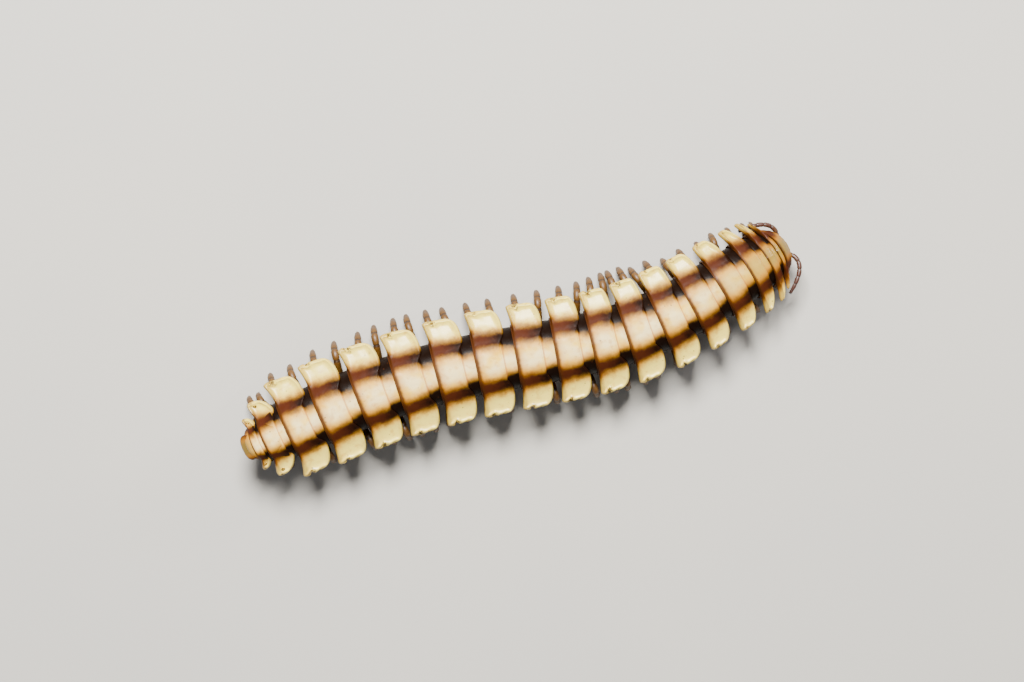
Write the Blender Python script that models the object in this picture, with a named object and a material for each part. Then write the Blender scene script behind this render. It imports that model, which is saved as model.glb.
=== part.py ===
"""A flat-backed python millipede, life size, standing still in a walking pose.

Metres, +Z up. The head points along +X and the animal's left side is on +Y.
The feet stand on Z = 0, and the origin is on the floor under the middle of the body.
Rings are numbered from the head: 1 is the collum, 2 to 19 carry side keels, 20 is the telson.
"""
import math

import bmesh
import bpy
from mathutils import Matrix, Vector

MM = 0.001
GAP = 0.3 * MM

# Heights of the back and the belly over the floor
BACK_TOP = 11.0 * MM
BELLY_LEVEL = {1: 2.9, 18: 2.9, 19: 3.5, 20: 4.6}
TALLEST_RING = 10

# Length of each ring along the back, in millimetres, and the bends of the pose in degrees
RING_LENGTH = {2: 0.95, 3: 2.0, 4: 3.35, 5: 5.0, 9: 5.2, 12: 5.9, 16: 6.0, 17: 5.2, 18: 3.7, 19: 1.7}
YAW = {1: 13.5, 4.5: 12.5, 10.5: -9.5, 17: 4.5}
DIP = {1: 36.0, 2: 31.0, 3: 22.0, 4: 13.0, 5: 6.5, 6: 2.0, 7: 0.0, 17: 0.0, 18: -6.0, 19: -10.0, 20: -14.0}
BEND_START = {4: 0.0, 6: 0.6, 18: 0.6, 19: 0.2}

# Trunk of the rings
TRUNK_HALF_WIDTH = {1: 3.9, 2: 4.05, 3: 4.3, 5: 4.65, 8: 4.75, 16: 4.75, 17: 4.45, 18: 3.6, 19: 2.8, 20: 2.4}
FRONT_BAND_INSET = 0.28 * MM
METAZONITE_END = 0.7
BAND_START = 0.745
# Half outline of the trunk from the mid back to the mid belly: share of half width, share of height
TRUNK_OUTLINE = (
    (0.0, 0.0), (0.36, 0.02), (0.64, 0.09), (0.86, 0.21), (0.99, 0.37),
    (1.0, 0.57), (0.86, 0.78), (0.63, 0.93), (0.43, 1.0),
)

# Side keels of the rings
KEEL_REACH = {2: 5.6, 3: 6.6, 4: 6.9, 5: 7.2, 7: 7.5, 12: 7.7, 16: 7.7, 17: 7.3, 18: 5.8, 19: 4.0}
KEEL_ROOT = 0.7
KEEL_ROOT_DROP = 0.205
KEEL_SLOPE = 17.0
KEEL_CHORD = {2: 0.7, 3: 1.4, 4: 2.4, 5: 3.4, 7: 4.0, 10: 4.3, 12: 4.7, 16: 4.8, 17: 4.5, 18: 3.2, 19: 1.4}
KEEL_SWEEP = {2: 0.8, 3: 1.0, 4: 0.8, 5: 0.45, 7: 0.2, 16: 0.2, 17: 0.5, 18: 1.3, 19: 0.8}
KEEL_HOOK = {2: 0.0, 5: 0.1, 8: 0.2, 12: 0.35, 17: 0.4, 18: 0.0}
KEEL_FLARE = {17: 0.0, 18: 0.12, 19: 0.4}
KEEL_FRONT_ROUND = {2: 1.6, 4: 1.8, 5: 2.4, 8: 3.6, 17: 3.6, 18: 2.5, 19: 2.6}
KEEL_REAR_ROUND = {2: 4.0, 5: 8.0, 8: 14.0, 17: 14.0, 18: 2.8, 19: 2.6}
KEEL_REAR_START = 0.03
KEEL_STEPS = (0.0, 0.35, 0.62, 0.82, 0.94, 0.995)
KEEL_NOTCH = 0.965
KEEL_ROOT_THICK = 1.5 * MM
KEEL_TIP_THICK = 0.65 * MM
KEEL_RIM = 0.16 * MM

# Collum, the shield behind the head
COLLUM_LENGTH = 2.2 * MM
COLLUM_HALF_WIDTH = 4.0 * MM
COLLUM_DROP = 2.1 * MM
COLLUM_THICK = 0.95 * MM
COLLUM_THIN_FRONT = 0.45
COLLUM_FRONT_DIP = 78.0
COLLUM_STEPS = (0.0, 0.3, 0.6, 0.82, 0.95, 1.0)
COLLUM_ARCH_STEPS = 5
COLLUM_ARCH_POWER = 2.2
COLLUM_FRONT_ROUND = 4
COLLUM_NARROWEST = 0.45
COLLUM_UNDER_WIDTH = 0.9
COLLUM_THIN_SIDES = 0.5

# Head, in millimetres from its centre where it isn't in metres
HEAD_AHEAD = -0.7 * MM
HEAD_CENTRE_HEIGHT = 3.8 * MM
HEAD_LEAN = -4.0
HEAD_SIDES = 16
HEAD_SQUARE = 0.85
# From the crown to the lip: height, half width, reach to the front, reach to the back
HEAD_LEVELS = (
    (2.2, 0.7, 0.4, 0.6), (2.0, 1.5, 0.9, 1.2), (1.45, 2.2, 1.4, 1.6), (0.7, 2.55, 1.75, 1.8),
    (0.0, 2.65, 1.85, 1.8), (-0.7, 2.55, 1.72, 1.6), (-1.35, 2.2, 1.45, 1.3), (-1.8, 1.75, 1.15, 0.9),
    (-2.1, 1.3, 0.85, 0.5),
)
LIP_NOTCH = 0.3
CHEEK_PLACE = (-0.45, 1.8, -0.6)
CHEEK_RADII = (1.35, 1.1, 1.3)
NECK_PLACE = (-2.0, 0.0, 0.7)
NECK_RADII = (2.2, 2.1, 1.5)
BALL_SIDES = 10
BALL_ROWS = 6
BEHIND_SIZE = 12 * MM

# Telson: length and rise in millimetres at each share of the last trunk section, and its tail plate
TELSON_STEPS = ((0.0, 0.0, 1.0), (0.4, 0.1, 0.93), (0.75, 0.25, 0.75), (1.0, 0.35, 0.5))
TAIL_PLATE_LENGTH = 1.7 * MM
TAIL_PLATE_HALF_WIDTH = 2.1 * MM
TAIL_PLATE_ROOT = 0.85
TAIL_PLATE_THICK = 1.2 * MM
TAIL_PLATE_TOP = 1.1 * MM
TAIL_PLATE_DROP = 30.0
TAIL_PLATE_ROUND = 2.5
TAIL_PLATE_WIDEST = 0.8
TAIL_PLATE_THIN = 0.45
TAIL_PLATE_STEPS = (0.0, 0.35, 0.65, 0.85, 0.95, 0.995)
TAIL_PLATE_SIDES = 10

# Antennae, with the route of the left one from the head's centre, in millimetres
ANTENNA_RADIUS = 0.36 * MM
ANTENNA_TIP_RADIUS = 0.22 * MM
ANTENNA_SIDES = 6
ANTENNA_LOOPS = 3
ANTENNA_SWELL = 0.14
ANTENNA_ROUTE = (
    (1.3, 1.4, 0.7), (1.85, 2.4, 0.8), (1.7, 3.6, 1.1), (0.9, 4.6, 1.35),
    (-0.15, 5.3, 1.5), (-1.15, 5.8, 1.5), (-2.0, 6.15, 1.4),
)
LEFT_ANTENNA_SWING = 13.0
RIGHT_ANTENNA_SWING = -6.0

# Legs
LEG_SIDES = 6
UPRIGHT = 0.2
PLATE_THICK = 0.8 * MM
PLATE_INNER = 0.25 * MM
PLATE_OUTER = 2.15 * MM
PLATE_MARGIN = 0.25 * MM
LEG_ROOT = 1.3 * MM
# Reach from the root, height over the floor and radius along the leg, in millimetres
LEG_PATH = (
    (0.0, 2.25, 0.5), (0.9, 1.95, 0.56), (2.3, 2.45, 0.55), (4.5, 4.1, 0.53),
    (6.5, 4.8, 0.55), (7.8, 4.1, 0.53), (8.45, 2.3, 0.46), (8.7, 0.4, 0.32), (8.72, 0.0, 0.24),
)
LEG_BEND = 3.0
LEG_REACH_SCALE = {2: 0.48, 3: 0.52, 4: 0.58, 5: 0.65, 8: 0.85, 16: 0.86, 17: 0.78, 18: 0.57}
LEFT_LEG_REACH = 1.0
RIGHT_LEG_REACH = 0.96
LEG_THICK_SCALE = {2: 0.66, 3: 0.72, 4: 0.85, 6: 1.0, 17: 1.0, 18: 0.9}
LEG_RISE_SCALE = {2: 0.72, 5: 0.84, 7: 1.0, 17: 1.0, 18: 0.82}
LEG_LEAN = {2: 26.0, 3: 14.0, 4: 4.0, 6: 0.0, 17: 0.0, 18: -8.0}
STRIDE_SWING = 11.0
STRIDE_LEGS = 11
STRIDE_REACH = 0.03
STRIDE_LEFT_LEAD = 0.35

SHELL_CREAM = (0.72, 0.53, 0.3)
SHELL_TAN = (0.6, 0.37, 0.17)
HORN_BROWN = (0.3, 0.15, 0.08)
LEG_BROWN = (0.32, 0.17, 0.11)
SHARP_ANGLE = math.radians(50)
SHELL_ROUGHNESS = 0.33
LIMB_ROUGHNESS = 0.4


def along_body(table, ring):
    """A size at a ring, or between two rings, eased between the rings that the table names."""
    names = sorted(table)
    if ring <= names[0]:
        return table[names[0]]
    for low, high in zip(names, names[1:]):
        if ring <= high:
            share = (ring - low) / (high - low)
            ease = (1 - math.cos(math.pi * share)) / 2
            return table[low] + (table[high] - table[low]) * ease
    return table[names[-1]]


def turn(yaw, dip):
    """Rotation of a ring: yaw about the vertical, then the front dipped towards the floor."""
    return Matrix.Rotation(math.radians(yaw), 3, "Z") @ Matrix.Rotation(math.radians(dip), 3, "Y")


def back_line():
    """Points on the mid back at the rear margin of each ring from 20 to 1, over the floor."""
    points = {19: Vector((0, 0, 0))}
    for ring in range(19, 1, -1):
        middle = turn(along_body(YAW, ring - 0.5), along_body(DIP, ring - 0.5))
        step = middle @ Vector((along_body(RING_LENGTH, ring) * MM, 0, 0))
        points[ring - 1] = points[ring] + step
    centre = (points[19] + points[1]) / 2
    shift = Vector((-centre.x, -centre.y, BACK_TOP - points[TALLEST_RING].z))
    return {ring: point + shift for ring, point in points.items()}


def make_material(name, colour, roughness):
    material = bpy.data.materials.new(name)
    material.use_nodes = True
    shader = material.node_tree.nodes["Principled BSDF"]
    shader.inputs["Base Color"].default_value = (*colour, 1)
    shader.inputs["Roughness"].default_value = roughness
    shader.inputs["Metallic"].default_value = 0
    return material


def closed_mesh(name, rows):
    """A closed body through rows of points, each row a loop round it, with flat ends."""
    work = bmesh.new()
    loops = [[work.verts.new(point) for point in row] for row in rows]
    count = len(rows[0])
    for near, far in zip(loops, loops[1:]):
        for i in range(count):
            j = (i + 1) % count
            work.faces.new((near[i], near[j], far[j], far[i]))
    work.faces.new(loops[0][::-1])
    work.faces.new(loops[-1])
    bmesh.ops.recalc_face_normals(work, faces=work.faces)
    bmesh.ops.triangulate(work, faces=work.faces)
    mesh = bpy.data.meshes.new(name)
    work.to_mesh(mesh)
    work.free()
    return bpy.data.objects.new(name, mesh)


def ball(name, centre, radii, rotation):
    """A closed oval with its poles along its own Z axis."""
    work = bmesh.new()
    bmesh.ops.create_uvsphere(work, u_segments=BALL_SIDES, v_segments=BALL_ROWS, radius=1)
    scale = Matrix.Diagonal((*radii, 1))
    bmesh.ops.transform(work, matrix=Matrix.Translation(centre) @ rotation.to_4x4() @ scale, verts=work.verts)
    mesh = bpy.data.meshes.new(name)
    work.to_mesh(mesh)
    work.free()
    return bpy.data.objects.new(name, mesh)


def apply_boolean(body, others, operation):
    """Join the other pieces to a body, or cut them out of it, and remove them."""
    group = bpy.data.collections.new("joined")
    bpy.context.scene.collection.children.link(group)
    for other in others:
        group.objects.link(other)
    modifier = body.modifiers.new("join", "BOOLEAN")
    modifier.operation = operation
    modifier.operand_type = "COLLECTION"
    modifier.collection = group
    modifier.solver = "EXACT"
    graph = bpy.context.evaluated_depsgraph_get()
    joined = bpy.data.meshes.new_from_object(body.evaluated_get(graph))
    body.modifiers.clear()
    body.data = joined
    for other in others:
        bpy.data.objects.remove(other)
    bpy.data.collections.remove(group)


def keep_largest_body(mesh):
    """Keep the closed surface that spans the largest box, and drop the others."""
    work = bmesh.new()
    work.from_mesh(mesh)
    unseen = set(work.verts)
    islands = []
    while unseen:
        front = [unseen.pop()]
        island = list(front)
        while front:
            vertex = front.pop()
            for edge in vertex.link_edges:
                other = edge.other_vert(vertex)
                if other in unseen:
                    unseen.remove(other)
                    front.append(other)
                    island.append(other)
        islands.append(island)
    islands.sort(key=lambda island: max(v.co.y for v in island) - min(v.co.y for v in island))
    for island in islands[:-1]:
        bmesh.ops.delete(work, geom=island, context="VERTS")
    bmesh.ops.triangulate(work, faces=work.faces)
    work.to_mesh(mesh)
    work.free()


def build_node(name, pieces, material, cutters=()):
    """One named body, joined from its pieces, cut where asked, smooth and with its material."""
    body = pieces[0]
    bpy.context.scene.collection.objects.link(body)
    if len(pieces) > 1:
        apply_boolean(body, pieces[1:], "UNION")
    if cutters:
        apply_boolean(body, list(cutters), "DIFFERENCE")
    keep_largest_body(body.data)
    body.name = name
    body.data.name = name
    body.data.shade_smooth()
    body.data.set_sharp_from_angle(angle=SHARP_ANGLE)
    body.data.materials.clear()
    body.data.materials.append(material)
    return body


def station(line, ring, share):
    """Place and rotation of a cross-section at a share of the ring's length from its rear."""
    start = along_body(BEND_START, ring)
    bend = max(0.0, (share - start) / (1 - start))
    place = line[ring].lerp(line[ring - 1], share)
    yaw = along_body(YAW, ring) + (along_body(YAW, ring - 1) - along_body(YAW, ring)) * bend
    dip = along_body(DIP, ring) + (along_body(DIP, ring - 1) - along_body(DIP, ring)) * bend
    return place, turn(yaw, dip), dip


def trunk_row(line, ring, share, inset):
    """Loop of points round the trunk, with the back and flanks set in by the inset."""
    place, rotation, dip = station(line, ring, share)
    half_width = along_body(TRUNK_HALF_WIDTH, ring - share) * MM - inset
    belly = along_body(BELLY_LEVEL, ring - share) * MM
    height = (place.z - belly) / math.cos(math.radians(dip))
    half = [Vector((0, a * half_width, -inset - b * (height - inset))) for a, b in TRUNK_OUTLINE]
    mirrored = [Vector((0, -point.y, point.z)) for point in reversed(half[1:])]
    return [place + rotation @ point for point in half + mirrored]


def trunk(line, ring):
    """Hard outer ring with its narrower front band, closed by flat faces."""
    front = 1 - GAP / (line[ring - 1] - line[ring]).length
    rows = [trunk_row(line, ring, share, 0) for share in (0.0, METAZONITE_END / 2, METAZONITE_END)]
    rows += [trunk_row(line, ring, share, FRONT_BAND_INSET) for share in (BAND_START, front)]
    return closed_mesh("trunk", rows)


def keel_outline(ring, length):
    """Outline of a left keel seen from above: forward, and share of the way to the tip."""
    rear_start = KEEL_REAR_START * length
    half_chord = along_body(KEEL_CHORD, ring) * MM / 2
    middle = rear_start + half_chord
    sweep = along_body(KEEL_SWEEP, ring) * MM
    hook = along_body(KEEL_HOOK, ring) * MM
    flare = along_body(KEEL_FLARE, ring)
    front_round = along_body(KEEL_FRONT_ROUND, ring)
    rear_round = along_body(KEEL_REAR_ROUND, ring)

    def edge(share, power):
        return half_chord * (1 + flare * share) * (1 - share ** power) ** (1 / power)

    rear = [(middle - sweep * s ** 2 - edge(s, rear_round) - hook * s ** 4, s) for s in KEEL_STEPS]
    front = [(middle - sweep * s ** 2 + edge(s, front_round), s) for s in reversed(KEEL_STEPS)]
    notch = [((rear[-1][0] + front[0][0]) / 2, KEEL_NOTCH)]
    return rear + notch + front


def keel(line, ring, side):
    """A side keel: a plate that thins towards its edge, with its root sunk in the trunk."""
    place, rotation, dip = station(line, ring, 0)
    length = (line[ring - 1] - line[ring]).length
    trunk_half = along_body(TRUNK_HALF_WIDTH, ring) * MM
    height = (place.z - along_body(BELLY_LEVEL, ring) * MM) / math.cos(math.radians(dip))
    root = trunk_half * KEEL_ROOT
    reach = along_body(KEEL_REACH, ring) * MM
    fall = math.tan(math.radians(KEEL_SLOPE))
    outline = keel_outline(ring, length)
    middle = sum(x for x, share in outline) / len(outline)
    rows = []
    for level in (1, 0, -1):
        row = []
        for x, share in outline:
            rim = KEEL_RIM * abs(level)
            across = root + (reach - root - rim) * share
            along = x + math.copysign(min(rim, abs(middle - x)), middle - x)
            thick = KEEL_ROOT_THICK + (KEEL_TIP_THICK - KEEL_ROOT_THICK) * share
            top = -KEEL_ROOT_DROP * height - (across - trunk_half) * fall
            up = top - thick * (1 - level) / 2
            row.append(place + rotation @ Vector((along, side * across, up)))
        rows.append(row)
    return closed_mesh("keel", rows)


def collum_station(line, share):
    """Place and rotation along the shield, which curves down over the back of the head."""
    rear_dip = along_body(DIP, 1)
    dip = rear_dip + (COLLUM_FRONT_DIP - rear_dip) * share
    middle_dip = rear_dip + (COLLUM_FRONT_DIP - rear_dip) * share / 2
    yaw = along_body(YAW, 1)
    forward = turn(yaw, middle_dip) @ Vector((COLLUM_LENGTH * share, 0, 0))
    return line[1] + forward, turn(yaw, dip)


def collum_shape(line, clearance):
    """The shield, grown by a clearance on its under side and front when it is a cutter."""
    arch = [i / COLLUM_ARCH_STEPS for i in range(-COLLUM_ARCH_STEPS, COLLUM_ARCH_STEPS + 1)]
    rows = []
    for share in COLLUM_STEPS:
        place, rotation = collum_station(line, share)
        narrow = max(COLLUM_NARROWEST, (1 - share ** COLLUM_FRONT_ROUND) ** (1 / COLLUM_FRONT_ROUND))
        half_width = COLLUM_HALF_WIDTH * narrow + clearance
        drop = COLLUM_DROP * narrow ** 2
        thick = COLLUM_THICK * (1 - COLLUM_THIN_FRONT * share)
        ahead = clearance * (2 * share - 1)
        outer = []
        inner = []
        for a in arch:
            fall = drop * abs(a) ** COLLUM_ARCH_POWER
            under = fall + thick * (1 - COLLUM_THIN_SIDES * a * a)
            outer.append(Vector((ahead, half_width * a, clearance - fall)))
            inner.append(Vector((ahead, half_width * a * COLLUM_UNDER_WIDTH, -clearance - under)))
        rows.append([place + rotation @ point for point in outer + inner[::-1]])
    return closed_mesh("collum", rows)


def head_place(line):
    """Centre of the head and its rotation, with the face nearly upright."""
    yaw = along_body(YAW, 1)
    centre = Vector((line[1].x, line[1].y, 0)) + turn(yaw, 0) @ Vector((HEAD_AHEAD, 0, 0))
    centre.z = HEAD_CENTRE_HEIGHT
    return centre, turn(yaw, HEAD_LEAN)


def capsule_shape(line, clearance):
    """Head capsule, squarish from above, with a notch in the lip, grown by a clearance as a cutter."""
    centre, upright = head_place(line)
    rows = []
    for up, half_width, front, back in HEAD_LEVELS:
        row = []
        for i in range(HEAD_SIDES):
            angle = math.tau * i / HEAD_SIDES
            x = math.copysign(abs(math.cos(angle)) ** HEAD_SQUARE, math.cos(angle))
            y = math.copysign(abs(math.sin(angle)) ** HEAD_SQUARE, math.sin(angle))
            x *= (front if x > 0 else back) * MM + clearance
            y *= half_width * MM + clearance
            z = up * MM + math.copysign(clearance, up)
            row.append(Vector((x, y, z)))
        rows.append([centre + upright @ point for point in row])
    if not clearance:
        rows[-1][0] += upright @ Vector((-LIP_NOTCH, 0, LIP_NOTCH)) * MM
    return closed_mesh("capsule", rows)


def head_shape(line):
    """Head capsule with cheeks and a neck that reaches to the second ring."""
    centre, upright = head_place(line)
    pieces = [capsule_shape(line, 0)]
    for side in (1, -1):
        x, y, z = CHEEK_PLACE
        place = centre + upright @ Vector((x, side * y, z)) * MM
        pieces.append(ball("cheek", place, Vector(CHEEK_RADII) * MM, upright))
    place = centre + upright @ Vector(NECK_PLACE) * MM
    pieces.append(ball("neck", place, Vector(NECK_RADII) * MM, upright))
    return pieces


def behind_cutter(line):
    """A block over everything behind the plane where the second ring ends."""
    rotation = turn(along_body(YAW, 1), along_body(DIP, 1))
    corners = ((-1, -1), (1, -1), (1, 1), (-1, 1))
    rows = []
    for x in (-1, 0):
        rows.append([line[1] + rotation @ Vector((x, y, z)) * BEHIND_SIZE for y, z in corners])
    return closed_mesh("behind", rows)


def tube(name, points, radii, sides, flat_end=False):
    """A round limb through points, with its last loop level when it ends in a flat foot."""
    rows = []
    for i, (point, radius) in enumerate(zip(points, radii)):
        before = points[max(i - 1, 0)]
        after = points[min(i + 1, len(points) - 1)]
        direction = (after - before).normalized()
        if flat_end and i == len(points) - 1:
            direction = Vector((0, 0, -1))
        across = direction.cross(Vector((0, 0, 1)))
        if across.length < UPRIGHT:
            across = (points[-1] - points[0]).cross(Vector((0, 0, 1)))
        across.normalize()
        over = across.cross(direction).normalized()
        row = []
        for k in range(sides):
            angle = math.tau * (k + 0.5) / sides
            row.append(point + (across * math.cos(angle) + over * math.sin(angle)) * radius)
        rows.append(row)
    return closed_mesh(name, rows)


def antenna_shape(line, side):
    """Seven articles from the socket on the face, bent out and back along the first keels."""
    centre, upright = head_place(line)
    root = Vector(ANTENNA_ROUTE[0])
    swing = Matrix.Rotation(math.radians(LEFT_ANTENNA_SWING if side > 0 else RIGHT_ANTENNA_SWING), 3, "Z")
    knots = []
    for knot in ANTENNA_ROUTE:
        x, y, z = root + swing @ (Vector(knot) - root)
        knots.append(centre + upright @ Vector((x, side * y, z)) * MM)
    joints = len(knots) - 1
    points = []
    radii = []
    for article in range(joints):
        for step in range(ANTENNA_LOOPS):
            share = step / ANTENNA_LOOPS
            points.append(knots[article].lerp(knots[article + 1], share))
            swell = 1 - ANTENNA_SWELL * (1 - math.sin(math.pi * share))
            taper = ((article + share) / joints) ** 3
            radii.append((ANTENNA_RADIUS + (ANTENNA_TIP_RADIUS - ANTENNA_RADIUS) * taper) * swell)
    points.append(knots[-1])
    radii.append(ANTENNA_TIP_RADIUS)
    return tube("antenna", points, radii, ANTENNA_SIDES)


def telson_shape(line):
    """Last ring with its broad tail plate over the end of the body."""
    rotation = turn(along_body(YAW, 19), along_body(DIP, 19))
    start = line[19] - rotation @ Vector((GAP, 0, 0))
    height = (line[19].z - along_body(BELLY_LEVEL, 19) * MM) - FRONT_BAND_INSET
    half_width = along_body(TRUNK_HALF_WIDTH, 19) * MM - FRONT_BAND_INSET
    centre = -FRONT_BAND_INSET - height / 2
    rows = []
    for back, rise, shrink in TELSON_STEPS:
        row = [
            Vector((-back * MM, a * half_width * shrink, centre + rise * MM + (0.5 - b) * height * shrink))
            for a, b in TRUNK_OUTLINE
        ]
        row += [Vector((p.x, -p.y, p.z)) for p in reversed(row[1:])]
        rows.append([start + rotation @ point for point in row])
    core = closed_mesh("core", rows)
    plate_turn = turn(along_body(YAW, 19), -TAIL_PLATE_DROP)
    plate_start = start + rotation @ Vector((0, 0, -TAIL_PLATE_TOP))
    rows = []
    for share in TAIL_PLATE_STEPS:
        flare = math.sin(math.pi / 2 * share / TAIL_PLATE_WIDEST)
        half = TAIL_PLATE_HALF_WIDTH * (TAIL_PLATE_ROOT + (1 - TAIL_PLATE_ROOT) * flare)
        half *= (1 - share ** TAIL_PLATE_ROUND) ** (1 / TAIL_PLATE_ROUND)
        thick = TAIL_PLATE_THICK * (1 - TAIL_PLATE_THIN * share)
        row = []
        for k in range(TAIL_PLATE_SIDES):
            angle = math.tau * (k + 0.5) / TAIL_PLATE_SIDES
            across = half * math.cos(angle)
            row.append(Vector((-TAIL_PLATE_LENGTH * share, across, thick / 2 * math.sin(angle))))
        rows.append([plate_start + plate_turn @ point for point in row])
    return [core, closed_mesh("plate", rows)]


def belly_ends(line, ring):
    """Mid belly at the rear and the front of a ring."""
    ends = []
    for share in (0.0, 1 - GAP / (line[ring - 1] - line[ring]).length):
        place, rotation, dip = station(line, ring, share)
        level = along_body(BELLY_LEVEL, ring - share) * MM
        height = (place.z - level) / math.cos(math.radians(dip))
        ends.append(place + rotation @ Vector((0, 0, -height)))
    return ends


def leg_count(ring):
    """One pair of legs on rings 2 to 4, two pairs from ring 5 on."""
    return 1 if ring <= 4 else 2


def legs_before(ring):
    """Legs on one side in front of a ring."""
    return sum(leg_count(r) for r in range(2, ring))


def leg(root, outward, forward, ring, order, side):
    """One leg from its root in the hip plate down to its flat foot."""
    phase = math.tau * order / STRIDE_LEGS + (STRIDE_LEFT_LEAD if side > 0 else 0.0)
    swing = math.radians(along_body(LEG_LEAN, ring) + STRIDE_SWING * math.sin(phase))
    way = outward * math.cos(swing) + forward * math.sin(swing)
    reach_scale = along_body(LEG_REACH_SCALE, ring) * (1 + STRIDE_REACH * math.cos(phase))
    reach_scale *= LEFT_LEG_REACH if side > 0 else RIGHT_LEG_REACH
    thick_scale = along_body(LEG_THICK_SCALE, ring)
    points = []
    radii = []
    for reach, height, radius in LEG_PATH:
        rise = height if reach < LEG_BEND else height * along_body(LEG_RISE_SCALE, ring)
        points.append(Vector((root.x, root.y, rise * MM)) + way * reach * reach_scale * MM)
        radii.append(radius * thick_scale * MM)
    return tube("leg", points, radii, LEG_SIDES, flat_end=True)


def legs_of_side(line, ring, side):
    """The legs of one side of a ring, joined by their half of the hip plate."""
    rear, front = belly_ends(line, ring)
    forward = turn(along_body(YAW, ring - 0.5), 0) @ Vector((1, 0, 0))
    outward = turn(along_body(YAW, ring - 0.5), 0) @ Vector((0, side, 0))
    half_length = (front - rear).length / 2 - PLATE_MARGIN
    middle = (rear + front) / 2
    top = along_body(BELLY_LEVEL, ring) * MM - GAP
    rows = []
    for z in (top, top - PLATE_THICK):
        row = []
        for x, y in ((-1, PLATE_INNER), (1, PLATE_INNER), (1, PLATE_OUTER), (-1, PLATE_OUTER)):
            point = middle + forward * x * half_length + outward * y
            row.append(Vector((point.x, point.y, z)))
        rows.append(row)
    pieces = [closed_mesh("hip", rows)]
    count = leg_count(ring)
    for i in range(count):
        share = (i + 0.5) / count
        root = front.lerp(rear, share) + outward * LEG_ROOT
        pieces.append(leg(root, outward, forward, ring, legs_before(ring) + i, side))
    return pieces


def centre_on_origin(nodes):
    """Hang every node on one empty, so that the middle of their box is over the origin."""
    corners = [vertex.co for node in nodes for vertex in node.data.vertices]
    middle_x = (min(c.x for c in corners) + max(c.x for c in corners)) / 2
    middle_y = (min(c.y for c in corners) + max(c.y for c in corners)) / 2
    stand = bpy.data.objects.new("millipede", None)
    stand.location = (-middle_x, -middle_y, 0)
    bpy.context.scene.collection.objects.link(stand)
    for node in nodes:
        node.parent = stand


def main():
    for old in list(bpy.data.objects):
        bpy.data.objects.remove(old)
    line = back_line()
    cream = make_material("shell_cream", SHELL_CREAM, SHELL_ROUGHNESS)
    tan = make_material("shell_tan", SHELL_TAN, SHELL_ROUGHNESS)
    horn = make_material("antenna_brown", HORN_BROWN, LIMB_ROUGHNESS)
    brown = make_material("leg_brown", LEG_BROWN, LIMB_ROUGHNESS)
    nodes = [
        build_node("head", head_shape(line), tan, [collum_shape(line, GAP), behind_cutter(line)]),
        build_node("collum", [collum_shape(line, 0)], tan),
        build_node("telson", telson_shape(line), cream),
    ]
    for name, side in (("left", 1), ("right", -1)):
        antenna = [antenna_shape(line, side)]
        nodes.append(build_node(f"antenna_{name}", antenna, horn, [capsule_shape(line, GAP)]))
        for ring in range(2, 19):
            nodes.append(build_node(f"legs_{name}_{ring:02d}", legs_of_side(line, ring, side), brown))
    for ring in range(2, 20):
        pieces = [trunk(line, ring), keel(line, ring, 1), keel(line, ring, -1)]
        nodes.append(build_node(f"ring_{ring:02d}", pieces, cream))
    centre_on_origin(nodes)


main()
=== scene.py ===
"""Looks of the python millipede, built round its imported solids, in metres with +Z up.

The head points along +X and the animal's left side is on +Y. Rings are numbered from the head:
1 is the collum, 2 to 19 carry side keels, and the telson follows. The tables give millimetres or
degrees at the rings that they name, and everything between is eased. A fade is a pair of values
between which something grows from nothing to full.
"""
import math
import random

import bmesh
import bpy
from mathutils import Matrix, Vector, noise


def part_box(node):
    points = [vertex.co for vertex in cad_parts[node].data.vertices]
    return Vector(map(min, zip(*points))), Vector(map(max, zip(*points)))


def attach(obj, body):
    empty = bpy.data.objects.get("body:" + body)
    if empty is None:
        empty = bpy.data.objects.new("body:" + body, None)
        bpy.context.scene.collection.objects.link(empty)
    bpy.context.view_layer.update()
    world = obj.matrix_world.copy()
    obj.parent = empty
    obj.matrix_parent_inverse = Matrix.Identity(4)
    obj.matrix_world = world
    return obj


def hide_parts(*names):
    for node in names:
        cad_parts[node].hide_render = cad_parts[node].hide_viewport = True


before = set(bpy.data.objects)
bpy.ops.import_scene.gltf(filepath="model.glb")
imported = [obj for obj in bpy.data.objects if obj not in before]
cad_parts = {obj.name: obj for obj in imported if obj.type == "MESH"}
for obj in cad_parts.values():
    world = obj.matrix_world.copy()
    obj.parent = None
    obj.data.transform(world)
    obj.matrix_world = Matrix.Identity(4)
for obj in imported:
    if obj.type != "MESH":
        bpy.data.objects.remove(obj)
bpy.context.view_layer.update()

MM = 0.001
GAP = 0.3 * MM
SHARP_EDGE = 50.0
SHELL_VALUES = ("across", "along", "low", "fore", "rim", "stain")
LIMB_VALUES = ("joint", "reach")
HEAD_VALUES = ("groove", "height")
SIDES = (("left", 1), ("right", -1))
RANDOM = random.Random(62)

# Body line, heights over the floor and bends of the pose
LAST_RING = 19
LAST_LEG_RING = 18
BACK_TOP = 11.0 * MM
BELLY_LEVEL = {1: 2.9, 18: 2.9, 19: 3.5, 20: 4.6}
TALLEST_RING = 10
RING_LENGTH = {2: 0.95, 3: 2.0, 4: 3.35, 5: 5.0, 9: 5.2, 12: 5.9, 16: 6.0, 17: 5.2, 18: 3.7, 19: 1.7}
YAW = {1: 13.5, 4.5: 12.5, 10.5: -9.5, 17: 4.5}
DIP = {1: 36.0, 2: 31.0, 3: 22.0, 4: 13.0, 5: 6.5, 6: 2.0, 7: 0.0, 17: 0.0, 18: -6.0, 19: -10.0, 20: -14.0}
BEND_START = {4: 0.0, 6: 0.6, 18: 0.6, 19: 0.2}

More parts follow.
